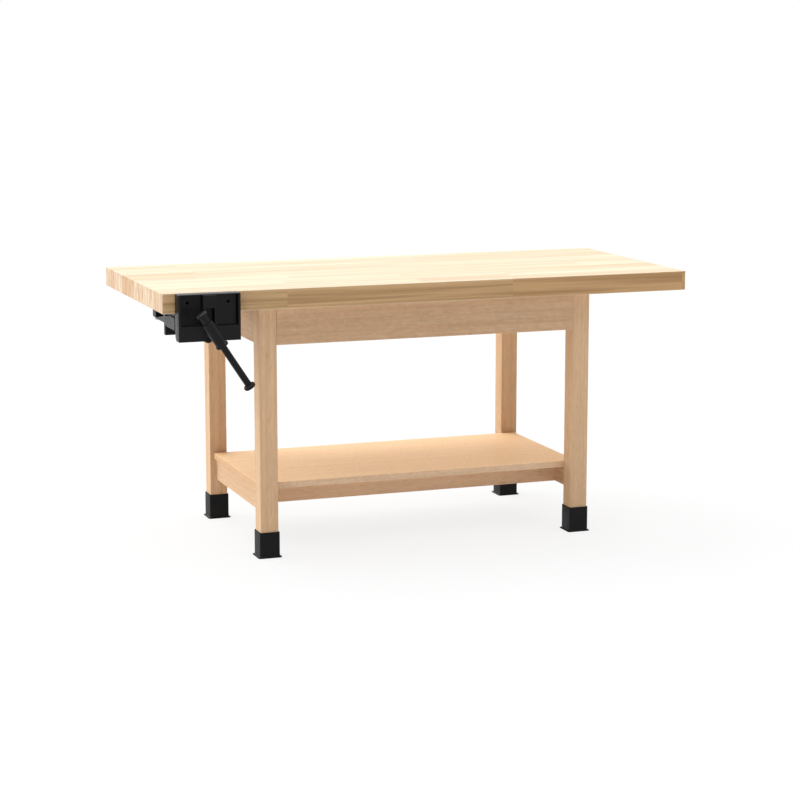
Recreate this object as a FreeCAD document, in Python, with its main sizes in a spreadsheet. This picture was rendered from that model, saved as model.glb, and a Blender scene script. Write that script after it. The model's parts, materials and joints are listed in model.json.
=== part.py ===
"""Woodworking bench with a screw vise on the left end of its front edge.

Millimetres. +X runs along the bench, -Y is the front, +Z is up. The origin is on the
floor, below the middle of the top. The vise is drawn in a frame of its own: its origin
is on the screw's axis in the plane of the bench's edge, -Y points out of the bench and
+Y in under it.
"""
import FreeCAD, Part
import os
import re

import Sketcher
from FreeCAD import Placement, Rotation, Vector

# ---------------------------------------------------------------- driving sizes
SIZES = {
    # the top and the frame
    "top_length": 1625.6,
    "top_depth": 711.2,
    "top_thickness": 57.15,
    "top_easing": 1.2,
    "bench_height": 793.75,
    "leg_side": 54.0,
    "leg_round": 2.0,
    "leg_frame_length": 1038.0,
    "leg_frame_depth": 605.2,
    "apron_height": 112.0,
    "apron_thickness": 19.0,
    "end_apron_inset": 7.0,
    # the lower rails and the shelf
    "rail_bottom": 125.0,
    "rail_height": 65.8,
    "end_rail_inset": 19.1,
    "end_rail_thickness": 12.7,
    "long_rail_thickness": 19.0,
    "long_rail_setback": 134.7,
    "shelf_end_setback": 11.0,
    "shelf_leg_gap": 5.0,
    "shelf_thickness": 19.0,
    "tenon_length": 20.0,
    "tenon_shoulder": 10.0,
    "tenon_fit": 0.1,
    # the boots on the legs
    "boot_height": 75.6,
    "boot_wall": 3.2,
    "boot_floor": 6.0,
    "boot_round": 4.5,
    "boot_fit": 0.2,
    "foot_lip": 5.4,
    "foot_lip_thickness": 2.5,
    "foot_flare": 3.0,
    # steel fittings of the frame
    "brace_gap": 8.0,
    "brace_thickness": 3.0,
    "brace_height": 60.0,
    "brace_foot": 30.0,
    "brace_screw_spread": 36.0,
    "hanger_radius": 4.0,
    "hanger_bite": 45.0,
    "hanger_stub": 26.0,
    "nut_across": 13.0,
    "nut_thickness": 6.5,
    "washer_radius": 9.0,
    "washer_thickness": 1.6,
    "screw_shank_radius": 2.4,
    "screw_shank_length": 16.0,
    "screw_head_radius": 4.6,
    "screw_head_height": 2.8,
    "clip_leg": 25.0,
    "clip_width": 30.0,
    "clip_thickness": 2.5,
    "clip_spacing": 300.0,
    "dowel_radius": 4.0,
    "dowel_length": 25.0,
    "dowel_spread": 32.0,
    "dowel_end_bite": 8.5,
    "hole_fit": 0.05,
    "screw_hole_fit": 0.2,
    "bolt_hole_fit": 0.3,
    "cut_past": 1.0,
    "drill_start": 5.0,
    "brace_drill_start": 40.0,
    # the vise: where it stands and its front jaw
    "vise_inset": 125.3,
    "screw_drop": 107.75,
    "jaw_drop": 0.2,
    "jaw_gap": 0.3,
    "jaw_width": 179.0,
    "jaw_height": 133.0,
    "jaw_depth": 42.0,
    "jaw_rim": 7.0,
    "jaw_top_rim": 3.0,
    "jaw_edge_round": 2.0,
    "jaw_panel_depth": 20.0,
    "jaw_beam_height": 43.0,
    "jaw_heel": 10.0,
    "jaw_heel_height": 8.0,
    "boss_width": 40.0,
    "boss_proud": 4.0,
    "slot_width": 25.0,
    "slot_low": 25.0,
    "slot_high": 68.0,
    "back_boss_radius": 21.0,
    "back_rib_width": 13.0,
    "back_rib_drop": 32.5,
    "back_boss_reach": 6.0,
    "facing_hole_radius": 3.2,
    "facing_hole_spread": 118.0,
    "facing_hole_height": 82.5,
    # the vise: body casting under the top
    "plate_thickness": 8.0,
    "body_length": 262.0,
    "front_wall_near": 22.0,
    "wall_thickness": 16.0,
    "front_wall_width": 124.0,
    "front_wall_lift": 5.0,
    "cross_wall_near": 113.6,
    "cheek_thickness": 8.0,
    "cheek_low": 1.0,
    "fin_thickness": 6.0,
    "fin_top": 38.0,
    "fin_slope_near": 61.6,
    "fin_tip_reach": 198.6,
    "fin_tip_low": 9.0,
    "fin_tip_high": 17.0,
    "fin_step_near": 104.0,
    "fin_step_far": 117.6,
    "ear_length": 36.4,
    "ear_width": 24.0,
    "ear_low": 11.0,
    "lag_spread": 158.0,
    "lag_radius": 4.0,
    "lag_bite": 32.0,
    "front_lag_spread": 112.0,
    "front_lag_near": 62.0,
    "rear_lag_near": 248.0,
    # the vise: guide rods, yoke, screw and nut
    "rod_spacing": 88.0,
    "rod_radius": 9.5,
    "rod_socket_depth": 32.0,
    "rod_end_gap": 1.0,
    "rod_chamfer": 1.0,
    "rod_end_past": 2.0,
    "rod_end_radius": 6.0,
    "rod_nut_across": 18.0,
    "rod_nut_thickness": 8.0,
    "yoke_thickness": 12.0,
    "yoke_height": 21.0,
    "yoke_overhang": 10.0,
    "yoke_clearance": 2.1,
    "jaw_travel": 114.3,
    "screw_radius": 11.0,
    "screw_tail_radius": 8.0,
    "screw_nose_radius": 9.0,
    "screw_nose_gap": 3.0,
    "screw_tail_past": 4.0,
    "running_fit": 0.08,
    "rod_wall_hole_fit": 2.0,
    "collar_radius": 16.0,
    "collar_length": 10.0,
    "pin_radius": 3.0,
    "pin_length": 29.0,
    "drive_nut_radius": 17.0,
    "drive_nut_flange_radius": 24.0,
    "drive_nut_flange_thickness": 6.0,
    "drive_nut_nose": 24.0,
    "drive_nut_spigot_radius": 15.0,
    # the vise: hub and sliding handle, from the screw's axis along the handle
    "handle_tilt": 33.1,
    "handle_reach": 91.4,
    "thrust_radius": 16.5,
    "thrust_thickness": 8.0,
    "neck_radius": 14.5,
    "barrel_radius": 16.0,
    "barrel_half": 39.0,
    "barrel_lip_radius": 17.5,
    "barrel_lip_height": 8.0,
    "barrel_lip_past": 2.0,
    "bar_radius": 9.75,
    "bar_lower_reach": 174.0,
    "bar_knob_bite": 7.2,
    "bar_cap_bite": 3.2,
    "bar_end_gap": 0.1,
    "head_neck_radius": 12.7,
    "head_neck_length": 24.0,
    "cap_radius": 16.8,
    "cap_thickness": 8.0,
    "cap_chamfer": 2.0,
    "knob_radius": 17.2,
    "knob_thickness": 12.0,
    "knob_chamfer": 3.0,
    "seat_gap": 0.3,
}

# ---------------------------------------------------------------- sizes worked out from them
WORKED = {
    "slab_bottom": "bench_height - top_thickness",
    "front_edge": "top_depth / 2",
    "leg_centre_x": "(leg_frame_length - leg_side) / 2",
    "leg_centre_y": "(leg_frame_depth - leg_side) / 2",
    "leg_inner_x": "leg_frame_length / 2 - leg_side",
    "leg_inner_y": "leg_frame_depth / 2 - leg_side",
    "leg_height": "slab_bottom - boot_floor",
    "brace_centre_z": "slab_bottom - apron_height / 2",
    "long_apron_step": "leg_side - apron_thickness",
    "end_apron_step": "leg_side - end_apron_inset - apron_thickness",
    "end_rail_out": "leg_frame_length / 2 - end_rail_inset",
    "long_rail_half": "end_rail_out - end_rail_thickness",
    "rail_top": "rail_bottom + rail_height",
    "shelf_length": "leg_frame_length - 2 * shelf_end_setback",
    "shelf_depth": "2 * (leg_inner_y - shelf_leg_gap)",
    "tenon_offset": "leg_frame_length / 2 - end_rail_inset - end_rail_thickness / 2 - leg_centre_x",
    "dowel_centre_y": "long_rail_setback - long_rail_thickness / 2",
    "brace_near": "brace_gap * sqrt(2)",
    "brace_far": "(brace_gap + brace_thickness) * sqrt(2)",
    "brace_screw_run": "brace_near + brace_foot / 2",
    "clip_hole": "clip_leg / 2 + clip_thickness / 2",
    # the vise's frame
    "vise_centre": "top_length / 2 - vise_inset",
    "screw_height": "bench_height - screw_drop",
    "bench_over": "slab_bottom - screw_height",
    "plate_low": "bench_over - plate_thickness",
    "jaw_top": "screw_drop - jaw_drop",
    "jaw_low": "jaw_top - jaw_height",
    "jaw_front": "jaw_gap + jaw_depth",
    "panel_floor": "jaw_front - jaw_panel_depth",
    "beam_top": "jaw_low + jaw_beam_height",
    "boss_front": "jaw_front + boss_proud",
    "front_wall_far": "front_wall_near + wall_thickness",
    "cross_wall_far": "cross_wall_near + wall_thickness",
    "collar_near": "back_boss_reach + seat_gap",
    "yoke_near": "cross_wall_far + jaw_travel + yoke_clearance",
    "yoke_far": "yoke_near + yoke_thickness",
    "rod_far": "yoke_far + rod_nut_thickness + rod_end_past",
    "screw_nose": "handle_reach - bar_radius - screw_nose_gap",
    "thrust_far": "boss_front + seat_gap",
    "thrust_near": "thrust_far + thrust_thickness",
    "neck_pin_reach": "(thrust_near + handle_reach - barrel_radius) / 2",
    "drive_nut_near": "cross_wall_near - drive_nut_nose",
    "head_low": "barrel_half + seat_gap",
    "head_shoulder": "head_low + head_neck_length",
    "head_top": "head_shoulder + cap_thickness",
    "lip_low": "barrel_half + barrel_lip_past",
    "knob_far": "bar_lower_reach + knob_thickness",
    "bar_bottom": "bar_lower_reach + bar_knob_bite",
    "bar_top": "head_shoulder + bar_cap_bite",
}

ORIGIN_PLANES = {"x": "YZ_Plane", "y": "XZ_Plane", "z": "XY_Plane"}

DOC = FreeCAD.newDocument("workbench")
PIECES = []


# ---------------------------------------------------------------- the sheet and its values
def make_sheet():
    """Write every size into the sheet, with its name as the cell's alias."""
    sheet = DOC.addObject("Spreadsheet::Sheet", "dims")
    cells = [(name, str(value)) for name, value in SIZES.items()]
    cells += [(name, "=" + formula) for name, formula in WORKED.items()]
    for row, (name, content) in enumerate(cells, start=1):
        sheet.set(f"A{row}", name)
        sheet.setAlias(f"B{row}", name)
        sheet.set(f"B{row}", content)
    DOC.recompute()
    return sheet


SHEET = make_sheet()


def size(name):
    """One size from the sheet, as a number."""
    return float(SHEET.get(name))


def sized(expression):
    """The expression with the names of sizes pointed at the sheet."""
    return re.sub(r"\b[a-z]+(?:_[a-z]+)+\b", lambda found: "dims." + found.group(0), expression)


def worth(expression):
    """The number that an expression of sizes comes to."""
    return float(SHEET.evalExpression(sized(expression)))


# ---------------------------------------------------------------- outlines
def oblong(left, right, low, high):
    """The corners of a rectangle, as expressions."""
    return [(left, low), (right, low), (right, high), (left, high)]


def disc(across, up, radius):
    """A circle's centre and radius, as expressions."""
    return {"centre": (across, up), "radius": radius}


def fix(sketch, kind, where, expression):
    """Add a dimension to a sketch and bind it to the sheet."""
    index = sketch.addConstraint(Sketcher.Constraint(kind, *where, worth(expression)))
    name = f"size{index}"
    sketch.renameConstraint(index, name)
    sketch.setExpression(f"Constraints.{name}", sized(expression))


def draw_disc(sketch, loop):
    """Draw a circle and fix its centre and radius."""
    across, up = loop["centre"]
    centre = Vector(worth(across), worth(up), 0)
    index = sketch.addGeometry(Part.Circle(centre, Vector(0, 0, 1), worth(loop["radius"])))
    fix(sketch, "DistanceX", (-1, 1, index, 3), across)
    fix(sketch, "DistanceY", (-1, 1, index, 3), up)
    fix(sketch, "Radius", (index,), loop["radius"])


def draw_polygon(sketch, corners):
    """Draw a closed run of straight lines and fix each of its corners."""
    points = [Vector(worth(across), worth(up), 0) for across, up in corners]
    count = len(points)
    first = sketch.GeometryCount
    for index in range(count):
        sketch.addGeometry(Part.LineSegment(points[index], points[(index + 1) % count]))
    for index in range(count):
        following = first + (index + 1) % count
        sketch.addConstraint(Sketcher.Constraint("Coincident", first + index, 2, following, 1))
    for index, (across, up) in enumerate(corners):
        fix(sketch, "DistanceX", (-1, 1, first + index, 1), across)
        fix(sketch, "DistanceY", (-1, 1, first + index, 1), up)


# ---------------------------------------------------------------- one solid piece
class Piece:
    """A PartDesign body made of prisms, turnings and cuts along its own axes."""

    def __init__(self, label, placement=None):
        self.body = DOC.addObject("PartDesign::Body", label)
        self.body.Label = label
        if placement:
            self.body.setExpression("Placement", sized(placement))
        PIECES.append(self.body)

    def sketch(self, axis, offset, loops):
        """A sketch square to an axis, at an offset along its plane's normal."""
        plane = next(item for item in self.body.Origin.OriginFeatures
                     if item.Role == ORIGIN_PLANES[axis])
        sketch = self.body.newObject("Sketcher::SketchObject", "outline")
        sketch.AttachmentSupport = [(plane, "")]
        sketch.MapMode = "FlatFace"
        sketch.setExpression("AttachmentOffset.Base.z", sized(offset))
        for loop in loops:
            if isinstance(loop, dict):
                draw_disc(sketch, loop)
            else:
                draw_polygon(sketch, loop)
        return sketch

    def prism(self, axis, start, end, *loops):
        """Pad the outlines from start to end along the axis."""
        offset = f"-({end})" if axis == "y" else start
        pad = self.body.newObject("PartDesign::Pad", "prism")
        pad.Profile = self.sketch(axis, offset, loops)
        pad.setExpression("Length", sized(f"({end}) - ({start})"))
        self.body.Tip = pad
        return self

    def cut(self, axis, start, end, *loops):
        """Pocket the outlines from start to end along the axis."""
        offset = f"-({start})" if axis == "y" else end
        pocket = self.body.newObject("PartDesign::Pocket", "cut")
        pocket.Profile = self.sketch(axis, offset, loops)
        pocket.setExpression("Length", sized(f"({end}) - ({start})"))
        self.body.Tip = pocket
        return self

    def turn(self, axis, stations):
        """Revolve a half profile, given as (place along the axis, radius), about the axis."""
        ends = [(stations[0][0], "0")] + stations + [(stations[-1][0], "0")]
        along_y = axis == "y"
        corners = ends if along_y else [(radius, place) for place, radius in ends]
        profile = self.sketch("x" if along_y else "y", "0", [corners])
        turning = self.body.newObject("PartDesign::Revolution", "turning")
        turning.Profile = profile
        turning.ReferenceAxis = (profile, ["H_Axis" if along_y else "V_Axis"])
        turning.Angle = 360
        self.body.Tip = turning
        return self

    def drill(self, placement, radius, depth):
        """Drill a slanting hole: a cylinder taken out along its own placement."""
        hole = self.body.newObject("PartDesign::SubtractiveCylinder", "bore")
        hole.setExpression("Radius", sized(radius))
        hole.setExpression("Height", sized(depth))
        hole.setExpression("Placement", sized(placement))
        self.body.Tip = hole
        return self

    def soften(self, radius, wanted, kind="Fillet"):
        """Fillet or chamfer the edges of the tip that the wanted test picks."""
        DOC.recompute()
        tip = self.body.Tip
        names = [f"Edge{number}" for number, edge in enumerate(tip.Shape.Edges, start=1)
                 if wanted(edge)]
        feature = self.body.newObject(f"PartDesign::{kind}", "softening")
        feature.Base = (tip, names)
        feature.setExpression("Radius" if kind == "Fillet" else "Size", sized(radius))
        self.body.Tip = feature
        return self


def upright(edge):
    """Whether an edge is a vertical line."""
    box = edge.BoundBox
    return box.ZLength > 1 and box.XLength < 0.01 and box.YLength < 0.01


def group(label, shapes, placement=None):
    """Several equal small solids kept as one sub-part."""
    feature = DOC.addObject("Part::Feature", label)
    feature.Label = label
    feature.Shape = Part.Compound(shapes)
    if placement:
        feature.setExpression("Placement", sized(placement))
    PIECES.append(feature)


# ---------------------------------------------------------------- fasteners
def rod_shape(radius, low, high):
    """A plain round rod along Z."""
    return Part.makeCylinder(radius, high - low, Vector(0, 0, low))


def hex_shape(across, low, high, bore=0.0):
    """A hexagonal prism along Z, with a bore if one is given."""
    corner = across / 3 ** 0.5
    ring = [Rotation(Vector(0, 0, 1), 60 * turn).multVec(Vector(corner, 0, low)) for turn in range(7)]
    solid = Part.Face(Part.makePolygon(ring)).extrude(Vector(0, 0, high - low))
    return solid.cut(rod_shape(bore, low, high)) if bore else solid


def wood_screw_shape():
    """A pan-head screw: the head stands on +Z from the origin, the shank goes down."""
    head = rod_shape(size("screw_head_radius"), 0, size("screw_head_height"))
    rim = [edge for edge in head.Edges if edge.BoundBox.ZMin > 0.5 * size("screw_head_height")]
    head = head.makeFillet(0.4 * size("screw_head_height"), rim)
    shank = rod_shape(size("screw_shank_radius"), -size("screw_shank_length"), 0)
    return head.fuse(shank).removeSplitter()


def lag_shape(reach):
    """A hexagonal lag screw with its washer: the washer lies on the origin, the shank goes up."""
    washer = rod_shape(size("washer_radius"), -size("washer_thickness"), 0)
    head_low = -size("washer_thickness") - size("nut_thickness")
    head = hex_shape(size("nut_across"), head_low, -size("washer_thickness"))
    shank = rod_shape(size("lag_radius"), 0, reach)
    return washer.fuse([head, shank]).removeSplitter()


def placed(shape, where, turned=Rotation()):
    """A copy of a shape at a place."""
    copy = shape.copy()
    copy.Placement = Placement(where, turned)
    return copy


# ---------------------------------------------------------------- the top
def clip_places():
    """Where the angle clips of the top sit: along an apron, and the apron's side."""
    spacing = size("clip_spacing")
    return [(step * spacing, side) for side in (-1, 1) for step in (-1, 0, 1)]


def make_top():
    """The edge-glued top, with pilot holes for the clips and the vise's lag screws."""
    top = Piece("bench_top")
    top.prism("z", "slab_bottom", "bench_height",
              oblong("-top_length / 2", "top_length / 2", "-front_edge", "front_edge"))
    top.soften("top_easing", lambda edge: edge.Length > 1, "Chamfer")
    pilots = []
    inner = "(leg_frame_depth / 2 - apron_thickness - clip_hole)"
    for side in (-1, 1):
        for step in (-1, 0, 1):
            pilots.append(disc(f"{step} * clip_spacing", f"{side} * {inner}",
                               "screw_shank_radius + hole_fit"))
    top.cut("z", "slab_bottom - cut_past", "slab_bottom + screw_shank_length", *pilots)
    lags = [disc(f"-vise_centre + {side} * {spread} / 2", f"-front_edge + {near}", "lag_radius + hole_fit")
            for spread, near in (("front_lag_spread", "front_lag_near"), ("lag_spread", "rear_lag_near"))
            for side in (-1, 1)]
    top.cut("z", "slab_bottom - cut_past", "slab_bottom + lag_bite", *lags)


# ---------------------------------------------------------------- legs and boots
CORNERS = {
    "front_left": (-1, -1),
    "front_right": (1, -1),
    "rear_left": (-1, 1),
    "rear_right": (1, 1),
}


def make_leg(corner, sign_x, sign_y):
    """A square leg with the mortise of its end rail and the slanting hole of its hanger bolt."""
    leg = Piece(f"{corner}_leg", f"placement(vector({sign_x} * leg_centre_x; {sign_y} * leg_centre_y;"
                                 " boot_floor); rotation(vector(0; 0; 1); 0))")
    half = "leg_side / 2"
    leg.prism("z", "0", "leg_height", oblong(f"-{half}", half, f"-{half}", half))
    leg.soften("leg_round", upright)
    middle = f"{sign_x} * tenon_offset"
    thick = "(end_rail_thickness / 2 + tenon_fit)"
    low = "rail_bottom + tenon_shoulder - tenon_fit - boot_floor"
    high = "rail_top - tenon_shoulder + tenon_fit - boot_floor"
    mortise = oblong(f"{middle} - {thick}", f"{middle} + {thick}", low, high)
    deep = "tenon_length + tenon_fit"
    if sign_y < 0:
        leg.cut("y", f"{half} - ({deep})", f"{half} + cut_past", mortise)
    else:
        leg.cut("y", f"-{half} - cut_past", f"-{half} + {deep}", mortise)
    inward = f"vector({-sign_x} * leg_side / 2; {-sign_y} * leg_side / 2; brace_centre_z - boot_floor)"
    turned = f"rotation(vector({-sign_y}; {sign_x}; 0); 90)"
    back_off = "placement(vector(0; 0; -drill_start); rotation(vector(0; 0; 1); 0))"
    leg.drill(f"placement({inward}; {turned}) * {back_off}", "hanger_radius + hole_fit",
              "drill_start + hanger_bite + cut_past")


def round_the_wall(edge, level, reach):
    """Whether an edge runs round a boot's wall at a level, and not round its lip."""
    box = edge.BoundBox
    flat = max(abs(box.ZMin - level), abs(box.ZMax - level)) < 0.01
    return flat and max(-box.XMin, box.XMax, -box.YMin, box.YMax) < reach + 0.01


def make_boot(corner, sign_x, sign_y):
    """A moulded boot: a square cup round the leg's foot with a thin lip on the floor."""
    boot = Piece(f"{corner}_boot", f"placement(vector({sign_x} * leg_centre_x; {sign_y} * leg_centre_y;"
                                   " 0); rotation(vector(0; 0; 1); 0))")
    hollow = "(leg_side / 2 + boot_fit)"
    wall = f"({hollow} + boot_wall)"
    lip = f"({wall} + foot_lip)"
    boot.prism("z", "0", "foot_lip_thickness", oblong(f"-{lip}", lip, f"-{lip}", lip))
    boot.soften("boot_round + foot_lip / 2", upright)
    boot.prism("z", "0", "boot_height", oblong(f"-{wall}", wall, f"-{wall}", wall))
    boot.soften("boot_round",
                lambda edge: upright(edge) and edge.BoundBox.ZLength > size("boot_height") / 2)
    boot.soften("boot_wall / 3", lambda edge: edge.BoundBox.ZMin > size("boot_height") - 0.01)
    boot.soften("foot_flare",
                lambda edge: round_the_wall(edge, size("foot_lip_thickness"), worth(wall)))
    boot.cut("z", "boot_floor", "boot_height + cut_past", oblong(f"-{hollow}", hollow, f"-{hollow}", hollow))


# ---------------------------------------------------------------- aprons, rails and shelf
def brace_pilots(half, run):
    """Pilot holes of the corner braces' screws near both ends of an apron."""
    return [disc(f"{end} * ({half} - ({run}))", f"apron_height / 2 + {up} * brace_screw_spread / 2",
                 "screw_shank_radius + hole_fit") for end in (-1, 1) for up in (-1, 1)]


def make_long_apron(label, sign_y):
    """The apron under the top's long edge, flush with the legs."""
    apron = Piece(label, f"placement(vector(0; {sign_y} * leg_frame_depth / 2; slab_bottom - apron_height);"
                         f" rotation(vector(0; 0; 1); {90 + 90 * sign_y}))")
    apron.prism("y", "0", "apron_thickness",
                oblong("-leg_inner_x", "leg_inner_x", "0", "apron_height"))
    apron.soften("leg_round / 2",
                 lambda edge: edge.BoundBox.ZMax < 0.01 and edge.Length > size("leg_side"))
    clips = [disc(f"{step} * clip_spacing", "apron_height - clip_hole", "screw_shank_radius + hole_fit")
             for step in (-1, 0, 1)]
    run = "long_apron_step + brace_screw_run"
    apron.cut("y", "apron_thickness - screw_shank_length + brace_thickness",
              "apron_thickness + cut_past", *brace_pilots("leg_inner_x", run))
    apron.cut("y", "apron_thickness - screw_shank_length + clip_thickness",
              "apron_thickness + cut_past", *clips)


def make_end_apron(label, sign_x):
    """The apron between the two legs of one end."""
    apron = Piece(label, f"placement(vector({sign_x} * (leg_frame_length / 2 - end_apron_inset); 0;"
                         f" slab_bottom - apron_height); rotation(vector(0; 0; 1); {sign_x} * 90))")
    apron.prism("y", "0", "apron_thickness",
                oblong("-leg_inner_y", "leg_inner_y", "0", "apron_height"))
    apron.soften("leg_round / 2",
                 lambda edge: edge.BoundBox.ZMax < 0.01 and edge.Length > size("leg_side"))
    run = "end_apron_step + brace_screw_run"
    apron.cut("y", "apron_thickness - screw_shank_length + brace_thickness",
              "apron_thickness + cut_past", *brace_pilots("leg_inner_y", run))


def make_end_rail(label, sign_x):
    """The lower rail between the legs of one end, with a stub tenon on each end."""
    rail = Piece(label, f"placement(vector({sign_x} * end_rail_out; 0; rail_bottom);"
                        f" rotation(vector(0; 0; 1); {sign_x} * 90))")
    rail.prism("y", "0", "end_rail_thickness", oblong("-leg_inner_y", "leg_inner_y", "0", "rail_height"))
    long_half = "(leg_inner_y + tenon_length)"
    rail.prism("y", "0", "end_rail_thickness",
               oblong(f"-{long_half}", long_half, "tenon_shoulder", "rail_height - tenon_shoulder"))
    rail.cut("y", "end_rail_thickness - dowel_end_bite", "end_rail_thickness + cut_past",
             *[disc(f"{side} * dowel_centre_y", f"rail_height / 2 + {up} * dowel_spread / 2",
                    "dowel_radius + hole_fit") for side in (-1, 1) for up in (-1, 1)])


def make_long_rail(label, sign_y):
    """A lower rail along the bench, doweled between the end rails."""
    rail = Piece(label, f"placement(vector(0; {sign_y} * long_rail_setback; rail_bottom);"
                        f" rotation(vector(0; 0; 1); {90 + 90 * sign_y}))")
    rail.prism("y", "0", "long_rail_thickness",
               oblong("-long_rail_half", "long_rail_half", "0", "rail_height"))
    dowels = [disc("long_rail_thickness / 2", f"rail_height / 2 + {up} * dowel_spread / 2",
                   "dowel_radius + hole_fit") for up in (-1, 1)]
    bite = "(dowel_length - dowel_end_bite + rod_end_gap)"
    rail.cut("x", f"long_rail_half - {bite}", "long_rail_half + cut_past", *dowels)
    rail.cut("x", "-long_rail_half - cut_past", f"-long_rail_half + {bite}", *dowels)
    rail.cut("y", "long_rail_thickness - screw_shank_length + clip_thickness",
             "long_rail_thickness + cut_past",
             *[disc(f"{side} * clip_spacing", "rail_height - clip_hole", "screw_shank_radius + hole_fit")
               for side in (-1, 1)])


def make_shelf():
    """The shelf, laid on the lower rails between the legs."""
    shelf = Piece("shelf")
    shelf.prism("z", "rail_top", "rail_top + shelf_thickness",
                oblong("-shelf_length / 2", "shelf_length / 2", "-shelf_depth / 2", "shelf_depth / 2"))
    shelf.soften("top_easing / 2", lambda edge: edge.Length > 1, "Chamfer")
    inner = "(long_rail_setback - long_rail_thickness - clip_hole)"
    shelf.cut("z", "rail_top - cut_past", "rail_top + screw_shank_length - clip_thickness",
              *[disc(f"{along} * clip_spacing", f"{side} * {inner}", "screw_shank_radius + hole_fit")
                for side in (-1, 1) for along in (-1, 1)])


# ---------------------------------------------------------------- fittings of the frame
def make_brace(corner, sign_x, sign_y):
    """A bent steel brace across the inside of a corner, from one apron to the other."""
    brace = Piece(f"{corner}_brace",
                  f"placement(vector({sign_x} * leg_inner_x; {sign_y} * leg_inner_y; brace_centre_z);"
                  " rotation(vector(0; 0; 1); 0))")
    near, far = "brace_near", "brace_far"
    long_step, end_step = "long_apron_step", "end_apron_step"
    inward = [
        (f"{near} + {long_step}", f"-{long_step}"),
        (f"{near} + {long_step} + brace_foot", f"-{long_step}"),
        (f"{near} + {long_step} + brace_foot", f"-{long_step} + brace_thickness"),
        (f"{far} + {long_step} - brace_thickness", f"-{long_step} + brace_thickness"),
        (f"-{end_step} + brace_thickness", f"{far} + {end_step} - brace_thickness"),
        (f"-{end_step} + brace_thickness", f"{near} + {end_step} + brace_foot"),
        (f"-{end_step}", f"{near} + {end_step} + brace_foot"),
        (f"-{end_step}", f"{near} + {end_step}"),
    ]
    plan = [(f"{-sign_x} * ({along})", f"{-sign_y} * ({across})") for along, across in inward]
    brace.prism("z", "-brace_height / 2", "brace_height / 2", plan)
    turned = f"rotation(vector({-sign_y}; {sign_x}; 0); 90)"
    start = f"vector({-sign_x} * brace_drill_start; {-sign_y} * brace_drill_start; 0)"
    brace.drill(f"placement({start}; {turned})", "hanger_radius + bolt_hole_fit",
                "brace_drill_start * sqrt(2)")
    holes = "screw_shank_radius + screw_hole_fit"
    run = "brace_screw_run"
    pair = (-1, 1)
    brace.cut("y", f"{-sign_y} * (-{long_step}) - brace_thickness - cut_past",
              f"{-sign_y} * (-{long_step}) + brace_thickness + cut_past",
              *[disc(f"{-sign_x} * ({run} + {long_step})", f"{up} * brace_screw_spread / 2", holes)
                for up in pair])
    brace.cut("x", f"{-sign_x} * (-{end_step}) - brace_thickness - cut_past",
              f"{-sign_x} * (-{end_step}) + brace_thickness + cut_past",
              *[disc(f"{-sign_y} * ({run} + {end_step})", f"{up} * brace_screw_spread / 2", holes)
                for up in pair])


def corner_point(sign_x, sign_y, along, across, up):
    """A place given by its distances inward from the inner corner of a leg."""
    return Vector(sign_x * (size("leg_inner_x") - along), sign_y * (size("leg_inner_y") - across), up)


def make_brace_fasteners():
    """The hanger bolts, their nuts and washers, and the wood screws of the four braces."""
    bolts, nuts, screws = [], [], []
    seat = size("brace_gap") + size("brace_thickness")
    washer_far = seat + size("washer_thickness")
    nut_far = washer_far + size("nut_thickness")
    bolt = rod_shape(size("hanger_radius"), -size("hanger_stub"), size("hanger_bite"))
    bore = size("hanger_radius") + size("hole_fit")
    washer = rod_shape(size("washer_radius"), -washer_far, -seat)
    washer = washer.cut(rod_shape(bore, -washer_far, -seat))
    nut = hex_shape(size("nut_across"), -nut_far, -washer_far, bore)
    screw = wood_screw_shape()
    centre_z = size("brace_centre_z")
    for sign_x, sign_y in CORNERS.values():
        corner = corner_point(sign_x, sign_y, 0, 0, centre_z)
        slant = Rotation(Vector(-sign_y, sign_x, 0), 90)
        bolts.append(placed(bolt, corner, slant))
        nuts.append(placed(nut, corner, slant))
        nuts.append(placed(washer, corner, slant))
        for up in (-1, 1):
            level = centre_z + up * size("brace_screw_spread") / 2
            on_long = corner_point(sign_x, sign_y, size("brace_screw_run") + size("long_apron_step"),
                                   -size("long_apron_step") + size("brace_thickness"), level)
            on_end = corner_point(sign_x, sign_y, -size("end_apron_step") + size("brace_thickness"),
                                  size("brace_screw_run") + size("end_apron_step"), level)
            screws.append(placed(screw, on_long, Rotation(Vector(1, 0, 0), 90 * sign_y)))
            screws.append(placed(screw, on_end, Rotation(Vector(0, 1, 0), -90 * sign_x)))
    group("hanger_bolts", bolts)
    group("hanger_nuts", nuts)
    group("brace_screws", screws)


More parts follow.
